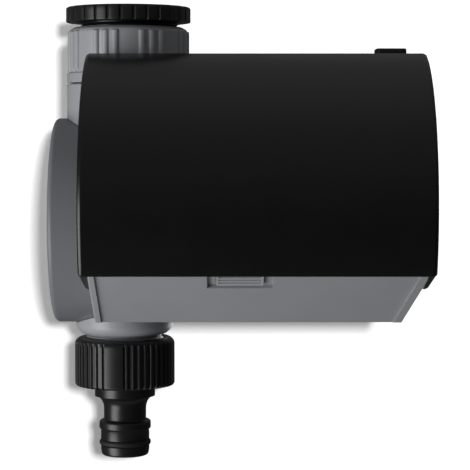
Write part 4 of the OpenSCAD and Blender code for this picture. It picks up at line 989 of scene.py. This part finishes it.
def make_sweep():
    """A wall close behind the object that curves down into a floor."""
    curve = [math.radians(a) for a in range(0, 91, 6)]
    y, z = WALL_Y - SWEEP_R, FLOOR_Z + SWEEP_R
    bend = [(y + SWEEP_R * math.cos(a), z - SWEEP_R * math.sin(a)) for a in curve]
    profile = [(WALL_Y, WALL_TOP)] + bend + [(FLOOR_FRONT, FLOOR_Z)]
    pts = [(x, y, z) for x in (-SWEEP_HALF, SWEEP_HALF) for y, z in profile]
    n = len(profile)
    me = bpy.data.meshes.new("Sweep")
    me.from_pydata(pts, [], [(i, i + 1, n + i + 1, n + i) for i in range(n - 1)])
    if me.polygons[0].normal.y > 0:
        me.flip_normals()
    me.materials.append(sweep_material())
    ob = bpy.data.objects.new("Sweep", me)
    scene.collection.objects.link(ob)
    ob.visible_diffuse = False
    ob.visible_glossy = False
    ob.visible_shadow = False
    return ob


def sweep_material():
    """Matt white from the front and clear from behind."""
    mat = bpy.data.materials.new("SweepWhite")
    mat.use_nodes = True
    nt = mat.node_tree
    bsdf = nt.nodes["Principled BSDF"]
    bsdf.inputs["Base Color"].default_value = (SWEEP_ALBEDO, SWEEP_ALBEDO, SWEEP_ALBEDO, 1)
    bsdf.inputs["Roughness"].default_value = 0.9
    bsdf.inputs["Specular IOR Level"].default_value = 0.0
    bsdf.inputs["Emission Color"].default_value = (1, 1, 1, 1)
    bsdf.inputs["Emission Strength"].default_value = SWEEP_GLOW
    geo = nt.nodes.new("ShaderNodeNewGeometry")
    clear = nt.nodes.new("ShaderNodeBsdfTransparent")
    mix = nt.nodes.new("ShaderNodeMixShader")
    nt.links.new(geo.outputs["Backfacing"], mix.inputs[0])
    nt.links.new(bsdf.outputs[0], mix.inputs[1])
    nt.links.new(clear.outputs[0], mix.inputs[2])
    nt.links.new(mix.outputs[0], nt.nodes["Material Output"].inputs["Surface"])
    return mat


def area(name, loc, target, size, power, size_y=None):
    """Softbox at loc that faces target."""
    lamp = bpy.data.lights.new(name, "AREA")
    lamp.shape = "RECTANGLE"
    lamp.size = size
    lamp.size_y = size_y or size
    lamp.energy = power
    ob = bpy.data.objects.new(name, lamp)
    scene.collection.objects.link(ob)
    ob.location = loc
    ob.rotation_euler = (Vector(target) - Vector(loc)).to_track_quat("-Z", "Y").to_euler()
    ob.visible_camera = False
    return ob


def light_only(lamps, pieces, name):
    """Lets the lamps light these pieces and nothing else."""
    group = bpy.data.collections.new(name)
    for ob in pieces:
        group.objects.link(ob)
    for lamp in lamps:
        lamp.light_linking.receiver_collection = group
    return group


def make_lights(sweep):
    """One tall softbox at the left, faint fills for the rest, and lamps that light only the sweep."""
    sun = bpy.data.lights.new("FloorLight", "SUN")
    sun.energy = FLOOR_SUN
    sun.angle = math.radians(50)
    floor = bpy.data.objects.new("FloorLight", sun)
    scene.collection.objects.link(floor)
    wall = area("WallLight", (0.15, -1.1, 0.050), (0.03, 0.05, -0.08), 0.065, WALL_POWER)
    key = area("KeyLeft", (-0.80, -0.56, -0.36), (0.0, 0, -0.08), 0.65, POWER["key"], 0.9)
    top = area("TopSoft", (0.05, -0.05, 0.9), (0.04, 0, -0.05), 0.8, POWER["top"])
    low = area("LowLeft", (-0.09, -0.13, -0.25), OBJECT_AT, 0.07, POWER["low"])
    back = area("BackSoft", (0.45, 0.90, -0.05), (0.03, 0.0, -0.07), 0.8, POWER["back"])
    light_only((wall, floor), [sweep], "OnlySweep")
    not_sweep = light_only((key, top), [sweep], "NotSweep")
    not_sweep.collection_objects[0].light_linking.link_state = "EXCLUDE"
    light_only([low], [front_shell, latch], "Underside")
    light_only([back], [rear_shell, door, valve_body, cap], "Rear")


def studio_world():
    """White to the camera; for the object, a dim room, brighter overhead and straight below."""
    world = bpy.data.worlds.new("Soft")
    world.use_nodes = True
    nt = world.node_tree
    coord = nt.nodes.new("ShaderNodeTexCoord")
    split = nt.nodes.new("ShaderNodeSeparateXYZ")
    nt.links.new(coord.outputs["Generated"], split.inputs["Vector"])
    sky = remap(nt, split.outputs["Z"], -0.1, 1.0, AMBIENT, AMBIENT + SKY)
    floor = remap(nt, split.outputs["Z"], -0.72, -0.92, 0.0, GROUND)
    room = math_node(nt, "ADD", sky, floor)
    path = nt.nodes.new("ShaderNodeLightPath")
    strength = nt.nodes.new("ShaderNodeMix")
    strength.inputs["B"].default_value = 1.0
    nt.links.new(room, strength.inputs["A"])
    nt.links.new(path.outputs["Is Camera Ray"], strength.inputs["Factor"])
    nt.links.new(strength.outputs["Result"], nt.nodes["Background"].inputs["Strength"])
    nt.nodes["Background"].inputs["Color"].default_value = (1, 1, 1, 1)
    return world


def make_camera():
    """Long lens, a little right of the water axis, looking slightly down."""
    pitch_down = 3.34
    cam = bpy.data.cameras.new("Camera")
    cam.sensor_width = 36
    cam.lens = 138.3
    cam.clip_start = 0.01
    ob = bpy.data.objects.new("Camera", cam)
    ob.location = (0.0358, -0.610, -0.0409)
    ob.rotation_euler = (math.radians(90 - pitch_down), 0, 0)
    scene.collection.objects.link(ob)
    return ob


sweep = make_sweep()
make_lights(sweep)
scene.world = studio_world()
scene.view_settings.view_transform = "Standard"
scene.camera = make_camera()
